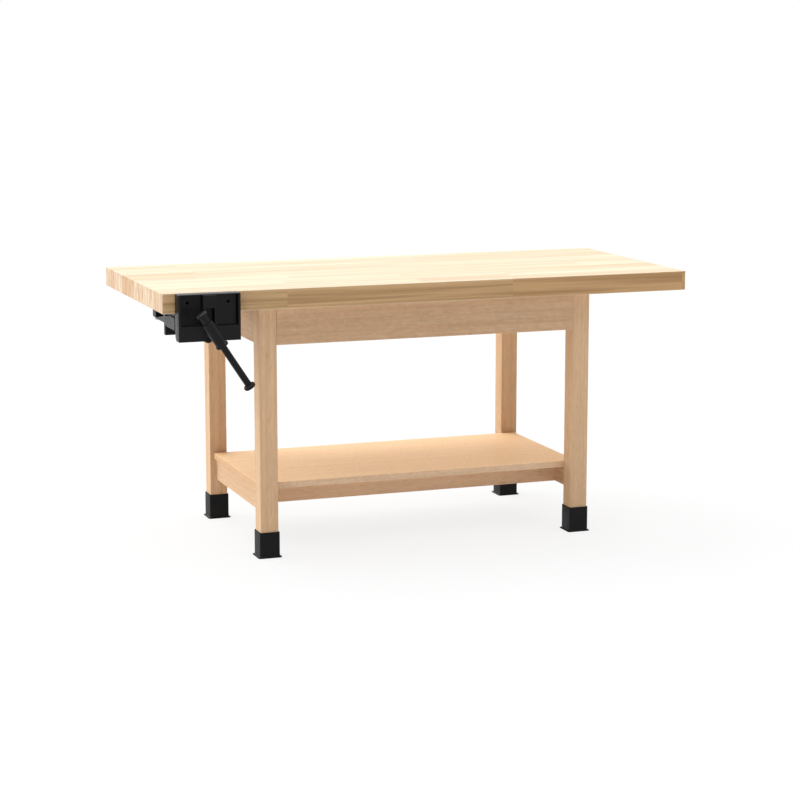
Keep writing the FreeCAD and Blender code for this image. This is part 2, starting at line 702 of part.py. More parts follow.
def make_clips():
    """Steel angle clips that hold the top to the aprons and the shelf to the rails."""
    leg, wide, thick = size("clip_leg"), size("clip_width"), size("clip_thickness")
    upright_leg = Part.makeBox(wide, thick, leg, Vector(-wide / 2, 0, -leg))
    flat_leg = Part.makeBox(wide, leg, thick, Vector(-wide / 2, 0, -thick))
    clip = upright_leg.fuse(flat_leg).removeSplitter()
    hole = size("screw_shank_radius") + size("screw_hole_fit")
    run = size("clip_hole")
    clip = clip.cut(placed(rod_shape(hole, -leg, leg), Vector(0, run, 0)))
    clip = clip.cut(placed(rod_shape(hole, -leg, leg), Vector(0, 0, -run), Rotation(Vector(1, 0, 0), 90)))
    screw = wood_screw_shape()
    clips, screws = [], []
    seats = [(along, side, size("leg_frame_depth") / 2 - size("apron_thickness"), size("slab_bottom"))
             for along, side in clip_places()]
    seats += [(along, side, size("long_rail_setback") - size("long_rail_thickness"), size("rail_top"))
              for along, side in clip_places() if along]
    for along, side, depth, level in seats:
        turned = Rotation(Vector(0, 0, 1), 90 + 90 * side)
        corner = Vector(along, side * depth, level)
        clips.append(placed(clip, corner, turned))
        up = Vector(along, side * (depth - run), level - thick)
        screws.append(placed(screw, up, Rotation(Vector(1, 0, 0), 180)))
        sideways = Vector(along, side * (depth - thick), level - run)
        screws.append(placed(screw, sideways, Rotation(Vector(1, 0, 0), 90 * side)))
    group("angle_clips", clips)
    group("clip_screws", screws)


def make_dowels():
    """The wooden dowels between the long lower rails and the end rails."""
    dowel = rod_shape(size("dowel_radius"), 0, size("dowel_length"))
    start = size("long_rail_half") + size("dowel_end_bite") - size("dowel_length")
    middle = size("rail_bottom") + size("rail_height") / 2
    dowels = [placed(dowel, Vector(sign_x * start, side * size("dowel_centre_y"),
                                   middle + up * size("dowel_spread") / 2),
                     Rotation(Vector(0, 1, 0), 90 * sign_x))
              for sign_x in (-1, 1) for side in (-1, 1) for up in (-1, 1)]
    group("rail_dowels", dowels)


# ---------------------------------------------------------------- the vise
def make_jaw(frame):
    """The front jaw: a ribbed casting with a boss for the screw and sockets for the rods."""
    jaw = Piece("vise_jaw", frame)
    half = "(jaw_width / 2)"
    jaw.prism("x", f"-{half}", half,
              [("-jaw_front", "jaw_low"), ("-jaw_gap - jaw_heel", "jaw_low"),
               ("-jaw_gap", "jaw_low + jaw_heel_height"), ("-jaw_gap", "jaw_top"),
               ("-jaw_front", "jaw_top")])
    front = -size("jaw_front")
    jaw.soften("jaw_edge_round", lambda edge: edge.BoundBox.YMax < front + 0.01)
    panels = [oblong(*sorted((f"{side} * ({half} - jaw_rim)", f"{side} * boss_width / 2"),
                             key=worth), "beam_top", "jaw_top - jaw_top_rim") for side in (-1, 1)]
    jaw.cut("y", "-jaw_front - cut_past", "-panel_floor", *panels)
    boss = "(boss_width / 2)"
    jaw.prism("y", "-boss_front", "-panel_floor",
              oblong(f"-{boss}", boss, "jaw_low", "jaw_top - jaw_edge_round"))
    jaw.cut("y", "-boss_front - cut_past", "-panel_floor",
            oblong("-slot_width / 2", "slot_width / 2", "slot_low", "slot_high"))
    jaw.prism("y", "-panel_floor", "back_boss_reach", disc("0", "0", "back_boss_radius"))
    rib = "(back_rib_width / 2)"
    jaw.prism("y", "-panel_floor", "back_boss_reach",
              oblong(f"-{rib}", rib, f"-back_rib_drop + {rib}", "0"))
    jaw.prism("y", "-panel_floor", "back_boss_reach", disc("0", f"-back_rib_drop + {rib}", rib))
    jaw.cut("y", "-boss_front - cut_past", "back_boss_reach + cut_past",
            disc("0", "0", "screw_radius + running_fit"))
    jaw.cut("y", "-rod_socket_depth", "cut_past",
            *[disc(f"{side} * rod_spacing / 2", "0", "rod_radius + hole_fit") for side in (-1, 1)])
    jaw.cut("y", "-panel_floor - cut_past", "cut_past",
            *[disc(f"{side} * facing_hole_spread / 2", "facing_hole_height", "facing_hole_radius")
              for side in (-1, 1)])


def make_vise_body(frame):
    """The casting under the top: mounting plate, two cross walls, cheeks, fins and rear ears."""
    casting = Piece("vise_body", frame)
    half = "(jaw_width / 2)"
    cheek_out = f"({half} - fin_thickness)"
    cheek_in = f"({cheek_out} - cheek_thickness)"
    casting.prism("z", "plate_low", "bench_over",
                  oblong(f"-{half}", half, "back_boss_reach", "body_length"))
    wall_half = "(front_wall_width / 2)"
    casting.prism("y", "front_wall_near", "front_wall_far",
                  oblong(f"-{wall_half}", wall_half, "jaw_low + front_wall_lift", "plate_low"))
    casting.prism("y", "cross_wall_near", "cross_wall_far", oblong(f"-{half}", half, "jaw_low", "plate_low"))
    for side in (-1, 1):
        inner, outer = sorted((f"{side} * {cheek_in}", f"{side} * {cheek_out}"), key=worth)
        casting.prism("x", inner, outer,
                      oblong("back_boss_reach", "cross_wall_far", "cheek_low", "plate_low"))
        inner, outer = sorted((f"{side} * {cheek_out}", f"{side} * {half}"), key=worth)
        casting.prism("x", inner, outer,
                      [("back_boss_reach", "cheek_low"), ("fin_step_near", "cheek_low"),
                       ("fin_step_far", "fin_tip_low"), ("fin_tip_reach", "fin_tip_low"),
                       ("fin_tip_reach", "fin_tip_high"), ("fin_slope_near", "fin_top"),
                       ("back_boss_reach", "fin_top")])
        inner, outer = sorted((f"{side} * ({half} - ear_width)", f"{side} * {half}"), key=worth)
        casting.prism("z", "ear_low", "plate_low",
                      oblong(inner, outer, "body_length - ear_length", "body_length"))
    rods = [disc(f"{side} * rod_spacing / 2", "0", "rod_radius + running_fit") for side in (-1, 1)]
    casting.cut("y", "front_wall_near - cut_past", "front_wall_far + cut_past",
                disc("0", "0", "screw_radius + rod_wall_hole_fit"), *rods)
    casting.cut("y", "cross_wall_near - cut_past", "cross_wall_far + cut_past",
                disc("0", "0", "drive_nut_spigot_radius + hole_fit"), *rods)
    for spread, near in (("front_lag_spread", "front_lag_near"), ("lag_spread", "rear_lag_near")):
        casting.cut("z", "ear_low - cut_past", "bench_over + cut_past",
                    *[disc(f"{side} * {spread} / 2", near, "lag_radius + bolt_hole_fit")
                      for side in (-1, 1)])


def make_guides(frame):
    """The two guide rods, the yoke that ties their far ends, and the nuts behind it."""
    for side, hand in ((-1, "left"), (1, "right")):
        rod = Piece(f"{hand}_guide_rod",
                    f"{frame} * placement(vector({side} * rod_spacing / 2; 0; 0);"
                    " rotation(vector(0; 0; 1); 0))")
        start = "-rod_socket_depth + rod_end_gap"
        rod.turn("y", [(start, "rod_radius - rod_chamfer"), (f"{start} + rod_chamfer", "rod_radius"),
                       ("yoke_near", "rod_radius"), ("yoke_near", "rod_end_radius"),
                       ("rod_far", "rod_end_radius")])
    yoke = Piece("vise_yoke", frame)
    half = "(rod_spacing / 2 + yoke_overhang)"
    yoke.prism("y", "yoke_near", "yoke_far", oblong(f"-{half}", half, "-yoke_height / 2", "yoke_height / 2"))
    yoke.soften("yoke_overhang / 2", lambda edge: abs(edge.CenterOfMass.x) > worth(half) - 0.01
                and edge.BoundBox.YLength > 1)
    yoke.cut("y", "yoke_near - cut_past", "yoke_far + cut_past",
             disc("0", "0", "screw_tail_radius + running_fit"),
             *[disc(f"{side} * rod_spacing / 2", "0", "rod_end_radius + hole_fit") for side in (-1, 1)])
    nut = hex_shape(size("rod_nut_across"), 0, size("rod_nut_thickness"),
                    size("rod_end_radius") + size("hole_fit"))
    inward = Rotation(Vector(1, 0, 0), -90)
    nuts = [placed(nut, Vector(side * size("rod_spacing") / 2, size("yoke_far"), 0), inward)
            for side in (-1, 1)]
    group("rod_nuts", nuts, frame)


def make_screw(tilted):
    """The vise screw, its thrust collar and the two roll pins that lock collar and hub."""
    screw = Piece("vise_screw", tilted)
    screw.turn("y", [("-screw_nose", "screw_nose_radius"), ("-thrust_far", "screw_nose_radius"),
                     ("-thrust_far", "screw_radius"), ("yoke_near - seat_gap", "screw_radius"),
                     ("yoke_near - seat_gap", "screw_tail_radius"),
                     ("yoke_far + screw_tail_past", "screw_tail_radius")])
    pin_hole = "pin_radius + hole_fit"
    reach = "screw_radius + cut_past"
    collar_middle = "collar_near + collar_length / 2"
    screw.cut("x", f"-({reach})", reach, disc(collar_middle, "0", pin_hole),
              disc("-neck_pin_reach", "0", pin_hole))
    collar = Piece("thrust_collar", tilted)
    collar.prism("y", "collar_near", "collar_near + collar_length", disc("0", "0", "collar_radius"),
                 disc("0", "0", "screw_radius + hole_fit"))
    collar.cut("x", "-collar_radius - cut_past", "collar_radius + cut_past",
               disc(collar_middle, "0", pin_hole))
    half = size("pin_length") / 2
    pin = placed(rod_shape(size("pin_radius"), -half, half), Vector(0, 0, 0), Rotation(Vector(0, 1, 0), 90))
    pins = []
    for place in (worth(collar_middle), -size("neck_pin_reach")):
        copy = pin.copy()
        copy.translate(Vector(0, place, 0))
        pins.append(copy)
    group("roll_pins", pins, tilted)


def make_drive_nut(frame):
    """The flanged nut in the cross wall."""
    nut = Piece("drive_nut", frame)
    nut.turn("y", [("drive_nut_near", "drive_nut_radius"),
                   ("cross_wall_near - drive_nut_flange_thickness", "drive_nut_radius"),
                   ("cross_wall_near - drive_nut_flange_thickness", "drive_nut_flange_radius"),
                   ("cross_wall_near", "drive_nut_flange_radius"),
                   ("cross_wall_near", "drive_nut_spigot_radius"),
                   ("cross_wall_far", "drive_nut_spigot_radius")])
    nut.cut("y", "drive_nut_near - cut_past", "cross_wall_far + cut_past",
            disc("0", "0", "screw_radius + running_fit"))


def make_hub(tilted):
    """The hub on the screw's nose: a cross barrel that the handle bar slides through."""
    hub = Piece("handle_hub", tilted)
    hub.prism("y", "-thrust_near", "-thrust_far", disc("0", "0", "thrust_radius"))
    hub.prism("y", "-handle_reach", "-thrust_near", disc("0", "0", "neck_radius"))
    hub.prism("z", "-barrel_half", "barrel_half", disc("0", "-handle_reach", "barrel_radius"))
    hub.prism("z", "-lip_low", "-lip_low + barrel_lip_height",
              disc("0", "-handle_reach", "barrel_lip_radius"))
    hub.cut("z", "-lip_low - cut_past", "barrel_half + cut_past",
            disc("0", "-handle_reach", "bar_radius + running_fit"))
    hub.cut("y", "-screw_nose - seat_gap", "-thrust_far + cut_past",
            disc("0", "0", "screw_nose_radius + hole_fit"))
    hub.cut("x", "-neck_radius - cut_past", "neck_radius + cut_past",
            disc("-neck_pin_reach", "0", "pin_radius + hole_fit"))


def make_handle(tilted):
    """The sliding bar, the headed sleeve on its upper end and the knob on its lower end."""
    on_bar = f"{tilted} * placement(vector(0; -handle_reach; 0); rotation(vector(0; 0; 1); 0))"
    bar = Piece("handle_bar", on_bar)
    bar.turn("z", [("-bar_bottom", "bar_radius"), ("bar_top", "bar_radius")])
    head = Piece("handle_head", on_bar)
    head.turn("z", [("head_low", "head_neck_radius"), ("head_shoulder", "head_neck_radius"),
                    ("head_shoulder", "cap_radius - cap_chamfer / 2"),
                    ("head_shoulder + cap_chamfer / 2", "cap_radius"),
                    ("head_top - cap_chamfer", "cap_radius"), ("head_top", "cap_radius - cap_chamfer")])
    head.cut("z", "head_low - cut_past", "bar_top + bar_end_gap", disc("0", "0", "bar_radius + hole_fit"))
    knob = Piece("handle_knob", on_bar)
    knob.turn("z", [("-knob_far", "knob_radius - knob_chamfer"),
                    ("-knob_far + knob_chamfer", "knob_radius"),
                    ("-bar_lower_reach - knob_chamfer", "knob_radius"),
                    ("-bar_lower_reach", "knob_radius - knob_chamfer")])
    knob.cut("z", "-bar_bottom - bar_end_gap", "-bar_lower_reach + cut_past",
             disc("0", "0", "bar_radius + hole_fit"))


def make_vise_lags(frame):
    """The four lag screws that hold the casting to the top."""
    front = lag_shape(size("plate_thickness") + size("lag_bite"))
    rear = lag_shape(size("bench_over") - size("ear_low") + size("lag_bite"))
    lags = []
    for side in (-1, 1):
        for shape, spread, near, low in ((front, "front_lag_spread", "front_lag_near", "plate_low"),
                                         (rear, "lag_spread", "rear_lag_near", "ear_low")):
            lags.append(placed(shape, Vector(side * size(spread) / 2, size(near), size(low))))
    group("vise_lags", lags, frame)


def make_vise():
    """The complete vise, its screw and handle turned to the tilt of the bar."""
    frame = "placement(vector(-vise_centre; -front_edge; screw_height); rotation(vector(0; 0; 1); 0))"
    tilted = f"{frame} * placement(vector(0; 0; 0); rotation(vector(0; 1; 0); -handle_tilt))"
    make_jaw(frame)
    make_vise_body(frame)
    make_guides(frame)
    make_screw(tilted)
    make_drive_nut(frame)
    make_hub(tilted)
    make_handle(tilted)
    make_vise_lags(frame)


# ---------------------------------------------------------------- checks and files
def check_model():
    """Stop if a feature failed, took nothing away, or left a sub-part that isn't sound."""
    for item in DOC.Objects:
        if "Invalid" in item.State or "Error" in item.State:
            raise RuntimeError(f"{item.Label} failed: {item.State}")
        if item.TypeId in ("PartDesign::Pocket", "PartDesign::SubtractiveCylinder"):
            if item.Shape.Volume > item.BaseFeature.Shape.Volume - 0.01:
                raise RuntimeError(f"{item.Label} of {item.getParent().Label} cuts nothing")
    for piece in PIECES:
        if piece.Shape.isNull() or not piece.Shape.isValid():
            raise RuntimeError(f"{piece.Label} isn't sound")
        if piece.TypeId == "PartDesign::Body" and len(piece.Shape.Solids) != 1:
            raise RuntimeError(f"{piece.Label} has {len(piece.Shape.Solids)} solids")


def write_parts():
    """Write each sub-part to its own file, named after it."""
    os.makedirs("parts", exist_ok=True)
    for piece in PIECES:
        piece.Shape.exportStep(f"parts/{piece.Label}.step")


def main():
    """Build the bench and its vise, check them and write the files."""
    make_top()
    for corner, signs in CORNERS.items():
        make_leg(corner, *signs)
        make_boot(corner, *signs)
        make_brace(corner, *signs)
    make_long_apron("front_apron", -1)
    make_long_apron("rear_apron", 1)
    make_end_apron("left_apron", -1)
    make_end_apron("right_apron", 1)
    make_end_rail("left_end_rail", -1)
    make_end_rail("right_end_rail", 1)
    make_long_rail("front_lower_rail", -1)
    make_long_rail("rear_lower_rail", 1)
    make_shelf()
    make_brace_fasteners()
    make_clips()
    make_dowels()
    make_vise()
    DOC.recompute()
    check_model()
    write_parts()


main()
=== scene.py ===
"""Looks of the woodworking bench with a vise: finishes, castings, threads, light and camera.

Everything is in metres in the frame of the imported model: +X along the bench, -Y the front,
+Z up, the origin on the floor below the middle of the top. The vise is modelled in a frame of
its own, in millimetres: its origin on the screw's axis in the plane of the bench's edge, -Y
out of the bench. The screw and the handle have that frame turned about Y, as the handle leans.
"""
from __future__ import annotations

import json
import logging
import math
from collections.abc import Callable, Iterator, Sequence
from contextlib import contextmanager
from dataclasses import dataclass, field, replace
from enum import Enum

import bmesh
import bpy
from mathutils import Matrix, Vector

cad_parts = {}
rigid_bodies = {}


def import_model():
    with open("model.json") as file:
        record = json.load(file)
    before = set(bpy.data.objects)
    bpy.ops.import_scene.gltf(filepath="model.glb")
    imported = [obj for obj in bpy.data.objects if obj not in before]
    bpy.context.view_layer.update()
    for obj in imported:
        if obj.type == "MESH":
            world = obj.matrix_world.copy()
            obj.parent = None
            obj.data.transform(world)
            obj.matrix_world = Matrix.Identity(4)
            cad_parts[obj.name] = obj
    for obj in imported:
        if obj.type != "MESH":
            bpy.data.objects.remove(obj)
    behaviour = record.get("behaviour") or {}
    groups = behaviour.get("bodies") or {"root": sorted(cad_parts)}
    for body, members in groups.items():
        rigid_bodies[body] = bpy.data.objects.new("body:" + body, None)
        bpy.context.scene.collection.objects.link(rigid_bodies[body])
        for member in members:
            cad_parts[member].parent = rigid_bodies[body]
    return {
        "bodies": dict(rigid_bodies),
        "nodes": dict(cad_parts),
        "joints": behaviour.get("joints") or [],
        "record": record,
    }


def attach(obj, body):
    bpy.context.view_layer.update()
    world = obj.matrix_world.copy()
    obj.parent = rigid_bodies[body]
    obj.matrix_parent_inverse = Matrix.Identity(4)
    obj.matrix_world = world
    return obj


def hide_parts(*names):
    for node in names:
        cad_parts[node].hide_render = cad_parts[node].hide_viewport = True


LOG = logging.getLogger("bench")
FRAME: dict = {}
CORNERS = ("front_left", "front_right", "rear_left", "rear_right")

MM = 0.001
# Corners that are nearer to each other than this, in metres, are one corner of the solid.
WELD = 0.000002
# A whole share, and the span that most values of a noise lie in.
FULL, NOISE_SPAN = (0.0, 1.0), (0.3, 0.7)

Piece = bpy.types.Object
Material = bpy.types.Material
Tree = bpy.types.NodeTree
Socket = bpy.types.NodeSocket
Span = tuple[float, float]
Place = tuple[float, float, float]


# ---------------------------------------------------------------- colours and shader nodes
def linear(code: str) -> tuple[float, float, float, float]:
    """Turn an sRGB hex colour into linear RGBA.

    Args:
        code: the colour as six hex digits after a hash.

    Returns:
        Red, green and blue in linear light, and an alpha of 1.
    """
    parts = [int(code[at:at + 2], 16) / 255 for at in (1, 3, 5)]
    light = [part / 12.92 if part <= 0.04045 else ((part + 0.055) / 1.055) ** 2.4
             for part in parts]
    return (*light, 1.0)


def add_node(tree: Tree, kind: str, inputs: dict | None = None,
             **settings: object) -> bpy.types.Node:
    """Add a shader node, set its properties, and fill or link its inputs.

    Args:
        tree: the node tree that gets the node.
        kind: the node's type name after ShaderNode.
        inputs: values or output sockets by input name or number.
        **settings: properties of the node itself.

    Returns:
        The new node.
    """
    node = tree.nodes.new(f"ShaderNode{kind}")
    for name, value in settings.items():
        setattr(node, name, value)
    for name, value in (inputs or {}).items():
        if isinstance(value, Socket):
            tree.links.new(value, node.inputs[name])
        else:
            node.inputs[name].default_value = value
    return node


def new_material(name: str) -> tuple[Material, Tree]:
    """Make an empty node material.

    Args:
        name: the material's name.

    Returns:
        The material and its node tree.
    """
    material = bpy.data.materials.new(name)
    material.use_nodes = True
    material.node_tree.nodes.clear()
    return material, material.node_tree


def calculate(tree: Tree, task: str, first: object, second: object = 0.0) -> Socket:
    """One sum on one or two values."""
    return add_node(tree, "Math", {0: first, 1: second}, operation=task).outputs[0]


def calculate_vector(tree: Tree, task: str, first: object, second: object) -> Socket:
    """One sum on two vectors, or on a vector and a value where the task is SCALE.

    Args:
        tree: the node tree.
        task: the sum's name.
        first: the first vector.
        second: the second vector, or the value.

    Returns:
        A value where the task is DOT_PRODUCT, and otherwise a vector.
    """
    key = "Scale" if task == "SCALE" else 1
    node = add_node(tree, "VectorMath", {0: first, key: second}, operation=task)
    return node.outputs["Value" if task == "DOT_PRODUCT" else "Vector"]


def mix_colours(tree: Tree, how: str, share: object, first: object, second: object) -> Socket:
    """Mix two colours by a share."""
    return add_node(tree, "Mix", {0: share, 6: first, 7: second}, data_type="RGBA",
                    blend_type=how).outputs[2]


def remap(tree: Tree, value: object, span: Span, onto: Span) -> Socket:
    """Bring the values of one span onto those of another.

    Args:
        tree: the node tree.
        value: the value.
        span: its low and high ends.
        onto: what those ends become.

    Returns:
        The new value.
    """
    return add_node(tree, "MapRange", {
        "Value": value, "From Min": span[0], "From Max": span[1], "To Min": onto[0],
        "To Max": onto[1]}).outputs[0]


def facing(tree: Tree, axis: Place) -> Socket:
    """Tell the faces that look along an axis, either way, from the others.

    Args:
        tree: the node tree.
        axis: the axis, of length 1.

    Returns:
        1 on those faces and 0 on the others.
    """
    normal = add_node(tree, "NewGeometry").outputs["True Normal"]
    along = calculate_vector(tree, "DOT_PRODUCT", normal, axis)
    return calculate(tree, "GREATER_THAN", calculate(tree, "ABSOLUTE", along), 0.8)


class Grain(Enum):
    """The way the grain of a wooden piece runs, as the turn that brings it onto X."""

    ALONG_X = (0.0, 0.0, 0.0)
    ALONG_Y = (0.0, 0.0, -math.pi / 2)
    ALONG_Z = (0.0, math.pi / 2, 0.0)

    @property
    def along(self) -> Place:
        """The way of the grain in the bench's own frame."""
        return {"ALONG_X": (1, 0, 0), "ALONG_Y": (0, 1, 0), "ALONG_Z": (0, 0, 1)}[self.name]


# ---------------------------------------------------------------- finishes
@dataclass(frozen=True)
class Wood:
    """Planed and sanded hardwood under clear varnish.

    The figure is solid: growth rings about each board's own heart, drawn out along the grain,
    so faces show streaks and ends show arcs. Sizes are in millimetres, and a stretch is a
    length as so many widths. Tints multiply the wood's colour: one on the sawn ends, and one
    that each stave takes a chance share of. The sawn ends may have a pale and a streak colour
    of their own, and the front and back faces may have painted shade: darker pale and streak
    colours that stand in for the lesser light on them. The slopes say how fast the rings change
    along the grain, and how fast the streaks of the sawn ends change upwards, against how fast
    they change across. The unevenness is that of the boards' widths and of their lengths.
    """

    name: str
    pale: str
    dark: str
    streak: str
    ring: float
    streak_width: float
    fibre_width: float
    roughness: float
    specular: float
    ring_depth: float = 0.1
    streak_depth: float = 0.5
    streak_span: Span = (0.38, 0.66)
    line_stretch: float = 60.0
    fibre_span: Span = (0.3, 0.75)
    fibre_light: Span = (0.95, 1.04)
    board_width: float = 0.0
    board_length: float = 700.0
    board_tint: str = "#ffffff"
    board_share: float = 0.3
    end_share: float = 0.7
    fleck_depth: float = 0.0
    fleck_stretch: float = 9.0
    fleck_span: Span = (0.72, 0.8)
    mottle_width: float = 3.5
    mottle_stretch: float = 8.0
    mottle_depth: float = 0.05
    end_tint: str = "#e4d6c6"
    # Painted shade: darker pale and streak colours for the front and back faces.
    painted_side_shade: tuple[str, str] | None = None
    on_ends: tuple[str, str] | None = None
    relief: float = 0.15
    ring_relief: float = 0.4
    roughness_spread: Span = (-0.06, 0.08)
    heart: Span = (45.0, -110.0)
    ring_slope: float = 0.03
    upright_slope: float = 0.15
    unevenness: Span = (0.7, 0.8)

    def make(self, grain: Grain, place: Vector = Vector((0, 0, 0))) -> Material:
        """Build the material for one way of the grain.

        Args:
            grain: the way the grain runs.
            place: where in the wood this piece was cut, in metres.

        Returns:
            The material.
        """
        material, tree = new_material(f"{self.name}_{grain.name.lower()}")
        where = add_node(tree, "TexCoord").outputs["Object"]
        turned = add_node(tree, "Mapping", {"Vector": where, "Location": place,
                                            "Rotation": grain.value}).outputs[0]
        end = facing(tree, grain.along)
        board, chance = self._boards(tree, turned) if self.board_width else (turned, None)
        rings = self._rings(tree, board)
        fibres = self._stretched(tree, board, self.fibre_width, self.line_stretch, 2)
        colour = self._figure(tree, board, rings, fibres, end)
        if chance is not None:
            share = remap(tree, end, FULL, (self.board_share, self.end_share))
            share = calculate(tree, "MULTIPLY", share, chance)
            colour = mix_colours(tree, "MULTIPLY", share, colour, linear(self.board_tint))
        colour = mix_colours(tree, "MULTIPLY", end, colour, linear(self.end_tint))
        height = calculate(tree, "ADD", fibres,
                           calculate(tree, "MULTIPLY", rings, self.ring_relief))
        bump = add_node(tree, "Bump", {"Strength": 0.25, "Distance": self.relief * MM,
                                       "Height": height}).outputs[0]
        smooth, dull = self.roughness_spread
        rough = remap(tree, fibres, FULL, (self.roughness + smooth, self.roughness + dull))
        shader = add_node(tree, "BsdfPrincipled", {
            "Base Color": colour, "Roughness": rough, "Normal": bump, "IOR": 1.5,
            "Specular IOR Level": self.specular})
        add_node(tree, "OutputMaterial", {"Surface": shader.outputs[0]})
        return material

    def _figure(self, tree: Tree, where: Socket, rings: Socket, fibres: Socket,
                end: Socket) -> Socket:
        """The wood's colour: streaks, rings, fibres, mottle, dark flecks and painted side shade.

        Args:
            tree: the material's node tree.
            where: the place in the board's own wood, its grain along X.
            rings: the growth rings.
            fibres: the hair-fine lines.
            end: 1 on the sawn ends and 0 elsewhere.

        Returns:
            The colour.
        """
        # On the sawn ends the streaks stand upright, as the rings of quarter-sawn staves do.
        upright = add_node(tree, "CombineXYZ", {
            "X": 1.0, "Y": 1.0,
            "Z": remap(tree, end, FULL, (1.0, self.upright_slope))}).outputs[0]
        placed = calculate_vector(tree, "MULTIPLY", where, upright)
        streaks = self._stretched(tree, placed, self.streak_width, self.line_stretch, 3)
        ground = remap(tree, streaks, self.streak_span, (0.0, self.streak_depth))
        pale, streak = linear(self.pale), linear(self.streak)
        # The front and back faces get painted shade, darker colours standing in for their lesser
        # light; the sawn ends get colours of their own.
        for side_shade_and_end_colours, faces in ((self.painted_side_shade, facing(tree, (0, 1, 0))), (self.on_ends, end)):
            if side_shade_and_end_colours:
                pale = mix_colours(tree, "MIX", faces, pale, linear(side_shade_and_end_colours[0]))
                streak = mix_colours(tree, "MIX", faces, streak, linear(side_shade_and_end_colours[1]))
        colour = mix_colours(tree, "MIX", ground, pale, streak)
        share = calculate(tree, "MULTIPLY", rings, self.ring_depth)
        colour = mix_colours(tree, "MIX", share, colour, linear(self.dark))
        patches = self._stretched(tree, where, self.mottle_width, self.mottle_stretch, 4)
        mottle = remap(tree, patches, NOISE_SPAN,
                       (1 - self.mottle_depth, 1 + self.mottle_depth * 0.7))
        light = calculate(tree, "MULTIPLY", remap(tree, fibres, self.fibre_span, self.fibre_light),
                          mottle)
        colour = calculate_vector(tree, "SCALE", colour, light)
        if self.fleck_depth:
            flecks = self._stretched(tree, where, self.fibre_width * 2.5, self.fleck_stretch, 0)
            mark = remap(tree, flecks, self.fleck_span, (0.0, self.fleck_depth))
            colour = mix_colours(tree, "MIX", mark, colour, linear(self.dark))
        return colour

    @staticmethod
    def _stretched(tree: Tree, where: Socket, width: float, stretch: float,
                   detail: float) -> Socket:
        """Noise in lines along the grain.

        Args:
            tree: the material's node tree.
            where: the place in the wood, its grain along X.
            width: the lines' width in millimetres.
            stretch: their length as so many widths.
            detail: how many finer noises are laid over the first.

        Returns:
            The noise.
        """
        across = 1 / (width * MM)
        drawn = add_node(tree, "Mapping", {
            "Vector": where, "Scale": (across / stretch, across, across)}).outputs[0]
        return add_node(tree, "TexNoise", {
            "Vector": drawn, "Scale": 1.0, "Detail": detail, "Roughness": 0.55,
            "Distortion": 0.5}).outputs["Fac"]

    def _rings(self, tree: Tree, where: Socket) -> Socket:
        """Growth rings about the heart, wavering slowly along the grain.

        Args:
            tree: the material's node tree.
            where: the place in the board's own wood, its grain along X.

        Returns:
            A value that rises and falls once for each ring.
        """
        drawn = add_node(tree, "Mapping", {
            "Vector": where, "Location": (0, *(Vector(self.heart) * MM)),
            "Scale": (self.ring_slope, 1, 1)}).outputs[0]
        # A ring texture of scale 1 repeats every pi / 10 metres.
        return add_node(tree, "TexWave", {
            "Vector": drawn, "Scale": math.pi / 10 / (self.ring * MM), "Distortion": 6.0,
            "Detail": 2.0, "Detail Scale": 0.35}, wave_type="RINGS", rings_direction="X",
            wave_profile="SIN").outputs["Fac"]

    def _boards(self, tree: Tree, where: Socket) -> tuple[Socket, Socket]:
        """Glue the piece up from boards of uneven width, some of them butted end to end.

        Args:
            tree: the material's node tree.
            where: the place in the piece, its grain along X.

        Returns:
            The place in the board's own wood, and a chance value from 0 to 1 for each board.
        """
        def cells(along: Socket, uneven: float) -> Socket:
            """A colour of its own for each length along a line."""
            inputs = {"W": along, "Scale": 1.0, "Randomness": uneven}
            return add_node(tree, "TexVoronoi", inputs, voronoi_dimensions="1D").outputs["Color"]

        parts = add_node(tree, "SeparateXYZ", {0: where}).outputs
        in_width, in_length = self.unevenness
        row = cells(calculate(tree, "DIVIDE", parts["Y"], self.board_width * MM), in_width)
        shift = add_node(tree, "SeparateXYZ", {0: row}).outputs["X"]
        along = calculate(tree, "DIVIDE", parts["X"], self.board_length * MM)
        # Each row starts at a place of its own, so that its butt joints miss its neighbours'.
        along = calculate(tree, "ADD", along, calculate(tree, "MULTIPLY", shift, 37.0))
        mixed = calculate_vector(tree, "ADD", row, cells(along, in_length))
        away = calculate_vector(tree, "SCALE", mixed, 3.0)
        chance = add_node(tree, "TexWhiteNoise", {"Vector": mixed}).outputs["Value"]
        return calculate_vector(tree, "ADD", where, away), chance


